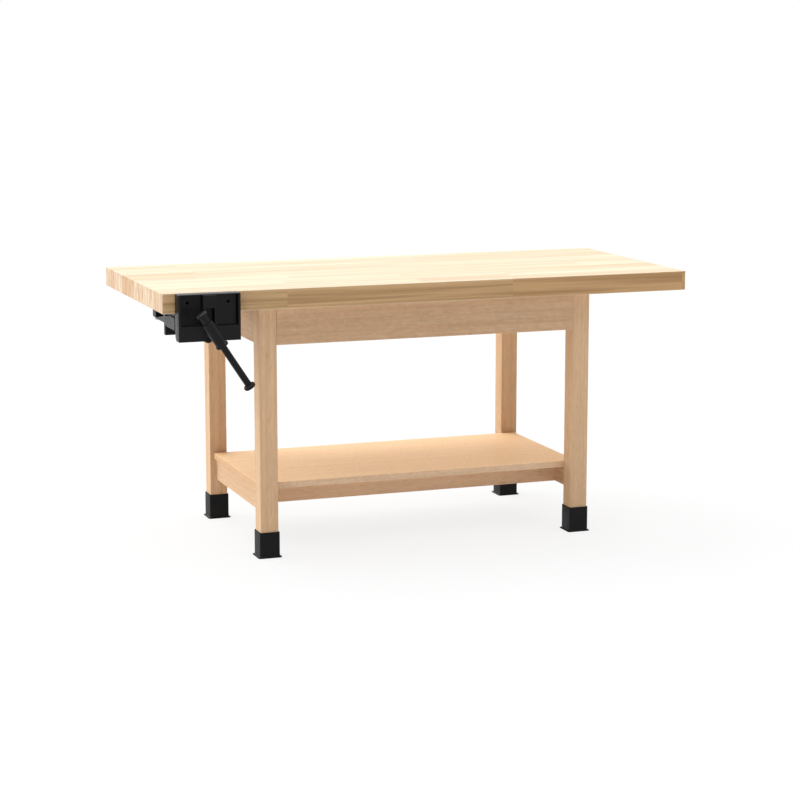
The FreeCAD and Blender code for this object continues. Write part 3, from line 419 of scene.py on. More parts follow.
@dataclass(frozen=True)
class Coated:
    """A painted, moulded or bare surface with a fine texture of its own.

    Sizes are in millimetres, but for the clouds of its gloss, which are so many times the grit.
    """

    name: str
    low: str
    high: str
    grit: float
    relief: float
    roughness: Span
    metallic: float = 0.0
    specular: float = 0.5
    drawn: Place = (1, 1, 1)
    cloud_size: float = 20.0
    tone_span: Span = (0.35, 0.65)

    def make(self) -> Material:
        """Build the material.

        Returns:
            The material.
        """
        material, tree = new_material(self.name)
        where = add_node(tree, "TexCoord").outputs["Object"]
        mapped = add_node(tree, "Mapping", {"Vector": where, "Scale": self.drawn}).outputs[0]
        grit, cloud = (add_node(tree, "TexNoise", {
            "Vector": mapped, "Scale": 1 / (size * MM), "Detail": detail}).outputs["Fac"]
            for size, detail in ((self.grit, 3.0), (self.grit * self.cloud_size, 2.0)))
        blend = add_node(tree, "Mix", {0: 0.6, 2: cloud, 3: grit}, data_type="FLOAT").outputs[0]
        tone = add_node(tree, "ValToRGB", {"Fac": blend})
        for stop, place, code in zip(tone.color_ramp.elements, self.tone_span,
                                     (self.low, self.high)):
            stop.position = place
            stop.color = linear(code)
        bump = add_node(tree, "Bump", {"Strength": 0.6, "Distance": self.relief * MM,
                                       "Height": grit}).outputs[0]
        inputs = {"Base Color": tone.outputs[0], "Normal": bump, "Metallic": self.metallic,
                  "Roughness": remap(tree, cloud, NOISE_SPAN, self.roughness)}
        if not self.metallic:
            inputs["Specular IOR Level"] = self.specular
        shader = add_node(tree, "BsdfPrincipled", inputs)
        add_node(tree, "OutputMaterial", {"Surface": shader.outputs[0]})
        return material


# Hard maple, glued up from staves, sanded and varnished: cream with a peach tinge in the streaks.
# The varnish browns the sawn ends; the front and back edges are darker with painted shade.
MAPLE_TOP = Wood("maple_top", pale="#ddd4be", dark="#c79a70", streak="#dcbca4", ring=7.0,
                 streak_width=14.0, fibre_width=2.6, roughness=0.6, specular=0.05,
                 streak_depth=1.0, streak_span=(0.42, 0.62), board_width=78.0,
                 board_tint="#e2bf9c", mottle_depth=0.03, end_tint="#ffffff",
                 painted_side_shade=("#d0ae84", "#b1916a"), on_ends=("#e7d8c0", "#ceac8d"))
# Plain-sawn hardwood of the legs and end rails: tan with pinkish streaks and a few dark flecks.
FRAME_WOOD = Wood("frame_wood", pale="#e4c39d", dark="#b08257", streak="#d4a984", ring=11.0,
                  streak_width=14.0, fibre_width=1.8, roughness=0.6, specular=0.12,
                  ring_depth=0.05, streak_depth=0.7, streak_span=(0.3, 0.72), fleck_depth=0.3,
                  mottle_width=6.0, mottle_stretch=4.0, mottle_depth=0.07)
# The aprons are curlier boards, made browner with painted shade from the top above them;
# the long lower rails are made paler with painted light.
APRON_WOOD_PAINTED_SHADE = replace(FRAME_WOOD, name="apron_wood_painted_shade", pale="#dcbb98", streak="#c89e7b",
                     mottle_width=9.0, mottle_stretch=2.0, mottle_depth=0.1)
RAIL_WOOD_PAINTED_LIGHT = replace(FRAME_WOOD, name="rail_wood_painted_light", pale="#f8d5b2", streak="#eec4a0")
# The shelf's board: warmer and finer, with a short mottled grain, under a satin varnish.
# Its pale colour is brightened with painted light, standing in for light that the top cuts off;
# its front and back edges are darker with painted shade.
SHELF_WOOD_PAINTED_LIGHT = Wood("shelf_wood", pale="#ffdcae", dark="#bd8a5c", streak="#f3c292", ring=5.0,
                  streak_width=6.0, fibre_width=2.2, roughness=0.55, specular=0.3,
                  mottle_width=6.0, mottle_stretch=1.8, mottle_depth=0.11, end_tint="#dfd3c8",
                  painted_side_shade=("#f3d0ae", "#e0bc97"))
# Sand-cast iron under black enamel: the sand's grain shows softly through the paint.
CAST_ENAMEL = Coated("cast_iron_black_enamel", "#0c0c0d", "#121213", grit=1.4, relief=0.12,
                     roughness=(0.3, 0.4), specular=0.18)
# Turned steel bar under the same black enamel, smoother than the castings.
BAR_ENAMEL = Coated("steel_bar_black_enamel", "#0d0d0e", "#131314", grit=2.0, relief=0.03,
                    roughness=(0.34, 0.42), specular=0.17)
# Moulded rubber: dull black with a faint pebble from the mould.
BOOT_RUBBER = Coated("moulded_rubber", "#0f0f10", "#171718", grit=1.2, relief=0.08,
                     roughness=(0.5, 0.62), specular=0.15)
# Bent steel strip under black enamel.
STRIP_ENAMEL = Coated("steel_strip_black_enamel", "#121213", "#1b1b1c", grit=3.0, relief=0.02,
                      roughness=(0.35, 0.45), specular=0.3)
# Zinc-plated screws and nuts: pale grey metal, slightly cloudy.
ZINC = Coated("zinc_plated_steel", "#9da0a4", "#c3c6ca", grit=1.0, relief=0.01,
              roughness=(0.28, 0.42), metallic=1.0)
# Turned and blackened steel of the guide rods and the vise screw: fine rings left by the tool.
BLACKENED_STEEL = Coated("blackened_turned_steel", "#3c3d40", "#56575b", grit=1.1, relief=0.01,
                         roughness=(0.26, 0.36), metallic=1.0, drawn=(0.08, 1.0, 0.08))
# Machined iron of the screw's nut, oiled.
NUT_IRON = Coated("machined_iron", "#4b4946", "#6a6763", grit=1.5, relief=0.02,
                  roughness=(0.35, 0.5), metallic=1.0)


# ---------------------------------------------------------------- modelling
def alone(piece: Piece) -> None:
    """Select one piece and nothing else, and make it the active one.

    Args:
        piece: the piece.
    """
    bpy.ops.object.select_all(action="DESELECT")
    piece.select_set(True)
    bpy.context.view_layer.objects.active = piece


@contextmanager
def editing(piece: Piece) -> Iterator[None]:
    """Open a piece in edit mode with all of it selected, and close it afterwards.

    Args:
        piece: the piece.

    Yields:
        Nothing, while the piece is open.
    """
    alone(piece)
    bpy.ops.object.mode_set(mode="EDIT")
    bpy.ops.mesh.select_mode(type="VERT")
    bpy.ops.mesh.select_all(action="SELECT")
    try:
        yield
    finally:
        bpy.ops.object.mode_set(mode="OBJECT")
        bpy.ops.object.select_all(action="DESELECT")


def pick_faces(piece: Piece, wanted: Callable[[Vector, Vector], bool]) -> None:
    """Select the faces whose middle and normal pass a test, in edit mode.

    Args:
        piece: the piece that is open for editing.
        wanted: the test, given a face's middle and its normal.
    """
    bpy.ops.mesh.select_mode(type="FACE")
    bpy.ops.mesh.select_all(action="DESELECT")
    mesh = bmesh.from_edit_mesh(piece.data)
    for face in mesh.faces:
        face.select_set(bool(wanted(face.calc_center_median(), face.normal)))
    bmesh.update_edit_mesh(piece.data)


def draw_faces(shift: Place) -> None:
    """Draw the selected faces out, or in, by a shift, in edit mode."""
    bpy.ops.mesh.extrude_region_move(TRANSFORM_OT_translate={"value": shift})


def cut_plane(place: Place, normal: Place, trim: bool = False) -> None:
    """Cut the whole mesh along a plane, in edit mode.

    Args:
        place: a point of the plane.
        normal: the way the plane looks.
        trim: whether the side that it looks to is taken off and the cut closed.
    """
    bpy.ops.mesh.select_all(action="SELECT")
    bpy.ops.mesh.bisect(plane_co=place, plane_no=normal, use_fill=trim, clear_outer=trim)


def finish_with(piece: Piece, kind: str, **settings: object) -> None:
    """Add a modifier to a piece, set it and apply it.

    Args:
        piece: the piece.
        kind: the modifier's type.
        **settings: properties of the modifier.
    """
    alone(piece)
    modifier = piece.modifiers.new(kind.lower(), kind)
    for name, value in settings.items():
        setattr(modifier, name, value)
    bpy.ops.object.modifier_apply(modifier=modifier.name)


def round_edges(piece: Piece, width: float, segments: int = 3) -> None:
    """Round every edge that is sharper than 30 degrees."""
    finish_with(piece, "BEVEL", width=width, segments=segments, limit_method="ANGLE",
                angle_limit=math.radians(30))


def run_together(piece: Piece, grain: float, passes: int) -> None:
    """Melt a piece's sharp edges and inner corners into each other, as a casting's are.

    Args:
        piece: the piece.
        grain: how fine the new mesh is, in the piece's own units.
        passes: how often it is smoothed.
    """
    finish_with(piece, "REMESH", mode="VOXEL", voxel_size=grain, use_smooth_shade=True)
    finish_with(piece, "SMOOTH", factor=0.5, iterations=passes)


def combine(piece: Piece, other: Piece, how: str = "UNION") -> None:
    """Join another solid to a piece, or take it away, and delete the other."""
    finish_with(piece, "BOOLEAN", object=other, operation=how, solver="EXACT")
    bpy.data.objects.remove(other)


def added(name: str) -> Piece:
    """Name the shape that was just added, and apply its place, turn and size to its mesh.

    Args:
        name: the shape's name.

    Returns:
        The shape.
    """
    piece = bpy.context.active_object
    piece.name = name
    bpy.ops.object.transform_apply(location=True, rotation=True, scale=True)
    return piece


def block(name: str, low: Sequence[float], high: Sequence[float]) -> Piece:
    """Make a box between two corners.

    Args:
        name: the box's name.
        low: the corner with the lowest values.
        high: the corner across from it.

    Returns:
        The box, ready to be shaped.
    """
    low, high = Vector(low), Vector(high)
    bpy.ops.object.select_all(action="DESELECT")
    bpy.ops.mesh.primitive_cube_add(size=1, location=(low + high) / 2, scale=high - low)
    return added(name)


def peg(start: Sequence[float], end: Sequence[float], radius: float, sides: int = 64) -> Piece:
    """Make a round or many-sided bar between two points, to drill with or to shape further.

    Args:
        start: the middle of one end.
        end: the middle of the other.
        radius: from the middle to a corner.
        sides: how many sides it has.

    Returns:
        The bar.
    """
    start, end = Vector(start), Vector(end)
    bpy.ops.object.select_all(action="DESELECT")
    bpy.ops.mesh.primitive_cylinder_add(
        vertices=sides, radius=radius, depth=(end - start).length, location=(start + end) / 2,
        rotation=(end - start).to_track_quat("Z", "Y").to_euler())
    return added("peg")


def line_of_points(name: str, points: Sequence[Vector]) -> Piece:
    """Draw an outline by drawing one corner out from point to point.

    Args:
        name: the outline's name.
        points: its corners in order.

    Returns:
        The outline, as a mesh of edges.
    """
    bpy.ops.object.select_all(action="DESELECT")
    bpy.ops.mesh.primitive_plane_add(size=1, location=(0, 0, 0))
    piece = added(name)
    with editing(piece):
        bpy.ops.mesh.merge(type="CENTER")
        bpy.ops.transform.translate(value=points[0])
        for near, far in zip(points, points[1:]):
            bpy.ops.mesh.extrude_vertices_move(TRANSFORM_OT_translate={"value": far - near})
    return piece


def lathe(name: str, profile: Sequence[tuple[float, float]], axis: str, steps: int = 72) -> Piece:
    """Turn a piece from its profile.

    Args:
        name: the piece's name.
        profile: points as (place along the axis, radius), from one end on the axis to the other.
        axis: "Y" or "Z".
        steps: how many facets go round.

    Returns:
        The closed, turned piece.
    """
    along = Vector((0, 1, 0)) if axis == "Y" else Vector((0, 0, 1))
    piece = line_of_points(name, [place * along + Vector((radius, 0, 0))
                                  for place, radius in profile])
    with editing(piece):
        bpy.ops.mesh.spin(steps=steps, angle=math.tau, center=(0, 0, 0), axis=along)
        bpy.ops.mesh.select_all(action="SELECT")
        bpy.ops.mesh.remove_doubles(threshold=0.0001)
        bpy.ops.mesh.normals_make_consistent(inside=False)
    return piece


def threaded_bar(name: str, root: float, crest: float, pitch: float, start: float, end: float,
                 steps: int = 40) -> Piece:
    """Cut a right-hand trapezoid thread along Y and trim it square at both ends.

    Args:
        name: the piece's name.
        root: radius at the bottom of the thread.
        crest: radius at its top.
        pitch: distance from one turn to the next.
        start: where the thread starts along Y.
        end: where it ends.
        steps: how many facets go round.

    Returns:
        The closed, threaded bar.
    """
    flank = pitch * 0.14
    flat = pitch / 2 - flank
    corners = [(0.0, root), (flat, root), (flat + flank, crest), (2 * flat + flank, crest),
               (pitch, root)]
    first = start - 2 * pitch
    piece = line_of_points(name, [Vector((radius, first + place, 0)) for place, radius in corners])
    turns = math.ceil((end - first) / pitch) + 2
    finish_with(piece, "SCREW", axis="Y", angle=math.tau, screw_offset=pitch, iterations=turns,
                steps=steps, render_steps=steps, use_merge_vertices=True, merge_threshold=0.001)
    with editing(piece):
        bpy.ops.mesh.remove_doubles(threshold=0.001)
        cut_plane((0, start, 0), (0, -1, 0), trim=True)
        cut_plane((0, end, 0), (0, 1, 0), trim=True)
        bpy.ops.mesh.select_all(action="SELECT")
        bpy.ops.mesh.normals_make_consistent(inside=False)
    return piece


def copy_of(node: str, name: str) -> Piece:
    """Copy a CAD node's mesh into a new piece, with its loose triangles merged.

    Args:
        node: the CAD node.
        name: the new piece's name.

    Returns:
        The new piece.
    """
    piece = bpy.data.objects.new(name, FRAME["nodes"][node].data.copy())
    bpy.context.scene.collection.objects.link(piece)
    piece.data.materials.clear()
    with editing(piece):
        bpy.ops.mesh.remove_doubles(threshold=WELD)
        bpy.ops.mesh.dissolve_limited(angle_limit=math.radians(0.5))
    return piece


def settle(piece: Piece, place: Matrix) -> None:
    """Bring a piece to its place and apply that to its mesh.

    Args:
        piece: the piece.
        place: brings it from where it is to its place.
    """
    alone(piece)
    piece.matrix_world = place @ piece.matrix_world
    bpy.ops.object.transform_apply(location=True, rotation=True, scale=True)


def place_piece(piece: Piece, body: str, node: str, material: Material,
                smooth: float = 35) -> None:
    """Finish a modelled piece: its shading, material, body and the CAD node it stands for.

    Args:
        piece: the finished piece.
        body: the body that it moves with.
        node: the CAD node that it stands for.
        material: its material.
        smooth: faces that meet below this angle, in degrees, are shaded as one.
    """
    alone(piece)
    bpy.ops.object.shade_smooth_by_angle(angle=math.radians(smooth))
    piece.data.materials.clear()
    piece.data.materials.append(material)
    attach(piece, body)
    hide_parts(node)
    LOG.info("%s: %d faces, rides on %s", piece.name, len(piece.data.polygons), body)


def dress(node: str, material: Material) -> None:
    """Give every material slot of a CAD node one material.

    Args:
        node: the CAD node.
        material: the material.
    """
    piece = FRAME["nodes"][node]
    if not piece.material_slots:
        piece.data.materials.append(material)
    for slot in piece.material_slots:
        slot.material = material
    LOG.info("dressed %s with %s", node, material.name)


@dataclass(frozen=True)
class Spot:
    """Where one solid of a CAD group stands: the two ends of its axis, the wide end first."""

    start: Vector
    end: Vector

    def place(self) -> Matrix:
        """Bring a part that is drawn in millimetres, from 0 up along Z, to this spot."""
        turn = (self.end - self.start).to_track_quat("Z", "Y").to_matrix().to_4x4()
        return Matrix.Translation(self.start) @ turn @ Matrix.Scale(MM, 4)

    @property
    def length(self) -> float:
        """The solid's length in millimetres."""
        return (self.end - self.start).length / MM


def spots_of(node: str, axis_at: Callable[[Vector], Vector] | None = None) -> list[Spot]:
    """Find where each separate solid of a CAD node stands.

    Args:
        node: the CAD node.
        axis_at: gives the axis of a solid from its middle; by default it is the longest side.

    Returns:
        One spot for each solid.
    """
    end_depth = 0.4 * MM
    mesh = bmesh.new()
    mesh.from_mesh(FRAME["nodes"][node].data)
    bmesh.ops.remove_doubles(mesh, verts=mesh.verts, dist=WELD)
    left, spots = set(mesh.verts), []
    while left:
        group, edge_of_group = [], [left.pop()]
        while edge_of_group:
            corner = edge_of_group.pop()
            group.append(corner.co.copy())
            near = {edge.other_vert(corner) for edge in corner.link_edges} & left
            left -= near
            edge_of_group.extend(near)
        low, high = (Vector([pick(point[side] for point in group) for side in range(3)])
                     for pick in (min, max))
        middle, span = (low + high) / 2, high - low
        axis = axis_at(middle) if axis_at else Vector([float(side == max(span)) for side in span])
        ends = sorted((point - middle).dot(axis) for point in group)
        radius = {end: max(((point - middle) - axis * end).length for point in group
                           if abs((point - middle).dot(axis) - end) < end_depth)
                  for end in (ends[0], ends[-1])}
        wide, thin = sorted(radius, key=radius.get, reverse=True)
        spots.append(Spot(middle + axis * wide, middle + axis * thin))
    mesh.free()
    return spots


# ---------------------------------------------------------------- the bench itself
@dataclass
class Bench:
    """The top, the frame and the shelf, all of them wood.

    The top's cut is where it begins in its glued-up stock, in metres, and so sets where the butt
    joints of its staves fall.
    """

    top: Wood = MAPLE_TOP
    shelf: Wood = SHELF_WOOD_PAINTED_LIGHT
    legs: Wood = FRAME_WOOD
    top_cut: float = -0.578
    boards: dict[str, tuple[Wood, Grain]] = field(default_factory=lambda: {
        "front_apron": (APRON_WOOD_PAINTED_SHADE, Grain.ALONG_X), "rear_apron": (APRON_WOOD_PAINTED_SHADE, Grain.ALONG_X),
        "left_apron": (APRON_WOOD_PAINTED_SHADE, Grain.ALONG_Y), "right_apron": (APRON_WOOD_PAINTED_SHADE, Grain.ALONG_Y),
        "left_end_rail": (FRAME_WOOD, Grain.ALONG_Y), "right_end_rail": (FRAME_WOOD, Grain.ALONG_Y),
        "front_lower_rail": (RAIL_WOOD_PAINTED_LIGHT, Grain.ALONG_X),
        "rear_lower_rail": (RAIL_WOOD_PAINTED_LIGHT, Grain.ALONG_X), "rail_dowels": (FRAME_WOOD, Grain.ALONG_X)})

    def dress_all(self) -> None:
        """Give every wooden node its own cut of the wood."""
        dress("bench_top", self.top.make(Grain.ALONG_X, Vector((self.top_cut, 0, 0))))
        dress("shelf", self.shelf.make(Grain.ALONG_X))
        for turn, (node, (wood, grain)) in enumerate(self.boards.items()):
            dress(node, wood.make(grain, Vector((0.7 * turn, 0.31 * turn, 0.17 * turn))))
        for turn, corner in enumerate(CORNERS):
            cut = Vector((0.9 * turn, 0.23 * turn, 0.4))
            dress(f"{corner}_leg", self.legs.make(Grain.ALONG_Z, cut))


@dataclass
class Boots:
    """The four moulded boots, their edges as round as the mould left them. Millimetres."""

    edge: float = 0.9

    def build(self) -> None:
        """Round the edges of each boot and dress it."""
        rubber = BOOT_RUBBER.make()
        for corner in CORNERS:
            boot = copy_of(f"{corner}_boot", f"{corner}_moulded_boot")
            round_edges(boot, self.edge * MM)
            place_piece(boot, "bench", f"{corner}_boot", rubber)


@dataclass
class Fixings:
    """Nuts, washers, screws and bolts. Sizes in millimetres."""

    hanger_radius: float = 4.0
    hanger_pitch: float = 1.6
    thread_depth: float = 0.75
    nut_across: float = 13.0
    nut_bore: float = 4.1
    rod_nut_across: float = 18.0
    rod_nut_bore: float = 6.05
    chamfer_share: float = 0.96
    chamfer_angle: float = 30.0
    washer_radius: float = 9.0
    washer_bore: float = 4.3
    washer_round: float = 0.3
    thickest_washer: float = 3.0
    head_radius: float = 4.6
    head_height: float = 2.8
    shank_radius: float = 2.4
    point_length: float = 4.0
    recess_reach: float = 2.6
    recess_width: float = 0.9
    recess_depth: float = 1.6

    def build(self) -> None:
        """Model the fixings and copy them to their places, and dress the braces and clips."""
        zinc, strip = ZINC.make(), STRIP_ENAMEL.make()
        for corner in CORNERS:
            dress(f"{corner}_brace", strip)
        dress("angle_clips", strip)
        self._screws(zinc)
        self._hanger_nuts(zinc)
        self._hanger_bolts(zinc)
        self._rod_nuts(zinc)
        dress("vise_lags", zinc)
        dress("roll_pins", zinc)

    def _hex_nut(self, across: float, height: float, bore: float) -> Piece:
        """Make a hexagon nut with both faces chamfered round, standing up Z from 0.

        Args:
            across: its width across the flats.
            height: its height.
            bore: its hole's radius.

        Returns:
            The nut.
        """
        corner, face = across / math.sqrt(3), across / 2 * self.chamfer_share
        outside = corner + 0.01
        slope = (corner - face) * math.tan(math.radians(self.chamfer_angle))
        nut = peg((0, 0, 0), (0, 0, height), corner, sides=6)
        rim = lathe("nut_rim", [(0, 0), (0, face), (slope, outside), (height - slope, outside),
                                (height, face), (height, 0)], "Z")
        combine(nut, rim, "INTERSECT")
        combine(nut, peg((0, 0, -1), (0, 0, height + 1), bore, sides=40), "DIFFERENCE")
        return nut

    def _screw(self, length: float) -> Piece:
        """Make a pan-head wood screw with a cross recess, its head at 0 and its point up Z.

        Args:
            length: from the head's top to the point.

        Returns:
            The screw.
        """
        head, radius, shank = self.head_height, self.head_radius, self.shank_radius
        screw = lathe("screw", [(0, 0), (0.05, 1.6), (0.5, 3.4), (1.3, radius - 0.2),
                                (2.0, radius), (head, radius), (head, shank),
                                (length - self.point_length, shank), (length, 0)], "Z", steps=32)
        reach, half = self.recess_reach, self.recess_width / 2
        for long, wide in ((reach, half), (half, reach)):
            combine(screw, block("recess", (-long, -wide, -1), (long, wide, self.recess_depth)),
                    "DIFFERENCE")
        return screw

    @staticmethod
    def _copies(model: Piece, spots: Sequence[Spot], name: str, first: int = 0,
                turn: Matrix = Matrix.Identity(4)) -> list[Piece]:
        """Copy a model, with a mesh of its own for each copy, to its spots, and delete it.

        Args:
            model: the model, drawn in millimetres.
            spots: where the copies stand.
            name: the copies' name, which gets a number.
            first: the first number.
            turn: brings the model's axis onto Z.

        Returns:
            The copies.
        """
        copies = []
        for count, spot in enumerate(spots, first):
            twin = bpy.data.objects.new(f"{name}_{count}", model.data.copy())
            bpy.context.scene.collection.objects.link(twin)
            settle(twin, spot.place() @ turn)
            copies.append(twin)
        bpy.data.objects.remove(model)
        return copies

    @staticmethod
    def _fit(copies: Sequence[Piece], name: str, body: str, node: str, zinc: Material,
             smooth: float = 35) -> None:
        """Make one piece of the copies and let it stand for their CAD node.

        Args:
            copies: the copies.
            name: the piece's name.
            body: the body that it moves with.
            node: the CAD node.
            zinc: the fixings' finish.
            smooth: faces that meet below this angle, in degrees, are shaded as one.
        """
        alone(copies[0])
        for piece in copies:
            piece.select_set(True)
        bpy.ops.object.join()
        bpy.context.active_object.name = name
        place_piece(bpy.context.active_object, body, node, zinc, smooth)

    def _screws(self, zinc: Material) -> None:
        """Make the screws of the braces and of the clips.

        Args:
            zinc: the fixings' finish.
        """
        for node in ("brace_screws", "clip_screws"):
            spots = spots_of(node)
            copies = self._copies(self._screw(spots[0].length), spots, node)
            self._fit(copies, f"{node}_pan_head", "bench", node, zinc)

    @staticmethod
    def _inward(middle: Vector) -> Vector:
        """The diagonal of a bench corner, pointing to the bench's middle."""
        return Vector((-math.copysign(1, middle.x), -math.copysign(1, middle.y), 0)).normalized()

    def _hanger_nuts(self, zinc: Material) -> None:
        """Make the nut and washer on each hanger bolt.

        Args:
            zinc: the fixings' finish.
        """
        copies = []
        for count, spot in enumerate(spots_of("hanger_nuts", self._inward)):
            if spot.length > self.thickest_washer:
                model = self._hex_nut(self.nut_across, spot.length, self.nut_bore)
            else:
                bore, rim, thick = self.washer_bore, self.washer_radius, spot.length
                model = lathe("washer", [(0, bore), (0, rim), (thick, rim), (thick, bore),
                                         (0, bore)], "Z")
                round_edges(model, self.washer_round, 2)
            copies += self._copies(model, [spot], "hanger_nut", count)
        self._fit(copies, "hanger_nuts_chamfered", "bench", "hanger_nuts", zinc)

    def _hanger_bolts(self, zinc: Material) -> None:
        """Make the bolts with a machine thread, their far ends in the legs.

        Args:
            zinc: the fixings' finish.
        """
        copies = []
        upright = Matrix.Rotation(math.radians(90), 4, "X")
        for count, spot in enumerate(spots_of("hanger_bolts", self._inward)):
            model = threaded_bar("hanger_bolt", self.hanger_radius - self.thread_depth,
                                 self.hanger_radius, self.hanger_pitch, 0, spot.length, 24)
            copies += self._copies(model, [spot], "hanger_bolt", count, upright)
        self._fit(copies, "hanger_bolts_threaded", "bench", "hanger_bolts", zinc, smooth=20)

    def _rod_nuts(self, zinc: Material) -> None:
        """Make the nuts on the far ends of the vise's guide rods.

        Args:
            zinc: the fixings' finish.
        """
        spots = spots_of("rod_nuts", lambda middle: Vector((0, 1, 0)))
        model = self._hex_nut(self.rod_nut_across, spots[0].length, self.rod_nut_bore)
        copies = self._copies(model, spots, "rod_nut")
        self._fit(copies, "rod_nuts_chamfered", "jaw", "rod_nuts", zinc)


# ---------------------------------------------------------------- the vise
@dataclass
class Jaw:
    """The front jaw: two hollow panels, a boss with a slot, and sockets for the guide rods.

    Millimetres, in the vise's frame.
    """

    half_width: float = 89.5
    low: float = -25.45
    high: float = 107.55
    front: float = -42.3
    back: float = -0.3
    rim: float = 7.0
    top_rim: float = 3.0
    beam_top: float = 17.55
    panel_depth: float = 20.0
    draft: float = 1.6
    boss_half: float = 20.0
    boss_proud: float = 4.0
    slot_half: float = 12.5
    slot_low: float = 25.0
    slot_high: float = 68.0
    heel: float = 10.0
    heel_height: float = 8.0
    back_boss: float = 21.0
    back_reach: float = 6.0
    rib_half: float = 13.5
    rib_drop: float = 33.5
    screw_bore: float = 11.08
    rod_bore: float = 9.55
    rod_places: float = 44.0
    rod_depth: float = 32.0
    facing_bore: float = 3.2
    facing_places: float = 59.0
    facing_height: float = 82.5
    sink: float = 1.5
    cast_round: float = 1.3
    drill_past: float = 5.0

    def build(self, place: Matrix, enamel: Material) -> None:
        """Model the jaw and put it on the vise.

        Args:
            place: brings the vise's frame to its place on the bench.
            enamel: the casting's finish.
        """
        jaw = block("vise_jaw_casting", (-self.half_width, self.front, self.low),
                    (self.half_width, self.back, self.high))
        self._divide(jaw)
        self._hollow_panels(jaw)
        self._raise_boss(jaw)
        round_edges(jaw, self.cast_round)
        self._add_back(jaw)
        self._drill(jaw)
        settle(jaw, place)
        place_piece(jaw, "jaw", "vise_jaw", enamel)

    def _divide(self, jaw: Piece) -> None:
        """Mark out the panels, the boss and the slot, and cut the heel's slope.

        Args:
            jaw: the casting as far as it is made.
        """
        inner = self.half_width - self.rim
        with editing(jaw):
            for across in (-inner, -self.boss_half, -self.slot_half, self.slot_half,
                           self.boss_half, inner):
                cut_plane((across, 0, 0), (1, 0, 0))
            for up in (self.beam_top, self.slot_low, self.slot_high, self.high - self.top_rim):
                cut_plane((0, 0, up), (0, 0, 1))
            cut_plane((0, self.back - self.heel, self.low), (0, self.heel_height, -self.heel),
                      trim=True)

    @staticmethod
    def _on_front(at: Vector, out: Vector, across: Span, up: Span) -> bool:
        """Tell whether a face is of the front and within such a part of it.

        Args:
            at: the face's middle.
            out: the face's normal.
            across: the part's nearest and farthest distance from the middle, either side.
            up: the part's lowest and highest place.

        Returns:
            Whether it is.
        """
        return out.y < -0.9 and across[0] < abs(at.x) < across[1] and up[0] < at.z < up[1]

    def _hollow_panels(self, jaw: Piece) -> None:
        """Sink the two panels, narrowing with the pattern's draft.

        Args:
            jaw: the casting as far as it is made.
        """
        across = (self.boss_half, self.half_width - self.rim)
        up = (self.beam_top, self.high - self.top_rim)
        shrink_x, shrink_z = (1 - 2 * self.draft / (far - near) for near, far in (across, up))
        for side in (-1, 1):
            with editing(jaw):
                pick_faces(jaw, lambda at, out: side * at.x > 0
                           and self._on_front(at, out, across, up))
                draw_faces((0, self.panel_depth, 0))
                bpy.ops.transform.resize(
                    value=(shrink_x, 1, shrink_z),
                    center_override=(side * sum(across) / 2, 0, sum(up) / 2))

    def _raise_boss(self, jaw: Piece) -> None:
        """Draw the boss out of the front and sink its slot.

        Args:
            jaw: the casting as far as it is made.
        """
        up = (self.low, self.high - self.top_rim)
        with editing(jaw):
            pick_faces(jaw, lambda at, out: at.y < self.front + 0.01
                       and self._on_front(at, out, (-1, self.boss_half), up))
            draw_faces((0, -self.boss_proud, 0))
            pick_faces(jaw, lambda at, out: self._on_front(
                at, out, (-1, self.slot_half), (self.slot_low, self.slot_high)))
            draw_faces((0, self.boss_proud + self.panel_depth, 0))

    def _add_back(self, jaw: Piece) -> None:
        """Join on the round boss and the rib below it on the back.

        Args:
            jaw: the casting as far as it is made.
        """
        inside = self.front + self.panel_depth
        radius, end = self.back_boss, self.back_reach
        boss = lathe("back_boss", [(inside, 0), (inside, radius), (end - 1, radius),
                                   (end, radius - 1), (end, 0)], "Y")
        # The rib's parts end a little inside each other: no two of their faces lie in one plane.
        foot, start, end, shy = self.rib_half - self.rib_drop, inside + 1, end - 0.5, 0.02
        rib = peg((0, start, foot), (0, end, foot), self.rib_half)
        combine(rib, block("rib_web", (shy - self.rib_half, start + shy, foot),
                           (self.rib_half - shy, end - shy, 0)))
        combine(boss, rib)
        combine(jaw, boss)

    def _drill(self, jaw: Piece) -> None:
        """Drill the screw's bore, the rods' sockets and the facing's holes.

        Args:
            jaw: the casting as far as it is made.
        """
        before = self.front - self.boss_proud - self.drill_past
        drills = [peg((0, before, 0), (0, self.back_reach + self.drill_past, 0), self.screw_bore)]
        wide = self.facing_bore + self.sink
        for side in (-1, 1):
            rod, hole = side * self.rod_places, side * self.facing_places
            drills.append(peg((rod, -self.rod_depth, 0), (rod, self.drill_past, 0), self.rod_bore))
            drills.append(peg((hole, before, self.facing_height),
                              (hole, self.drill_past, self.facing_height), self.facing_bore, 40))
            sink = lathe("countersink", [(0, 0), (0, self.facing_bore), (self.sink, wide),
                                         (2 * self.sink, wide), (2 * self.sink, 0)], "Z", 40)
            bottom = self.front + self.panel_depth + self.sink
            settle(sink, Matrix.Translation((hole, bottom, self.facing_height))
                   @ Matrix.Rotation(math.radians(90), 4, "X"))
            drills.append(sink)
        for drill in drills:
            combine(jaw, drill, "DIFFERENCE")


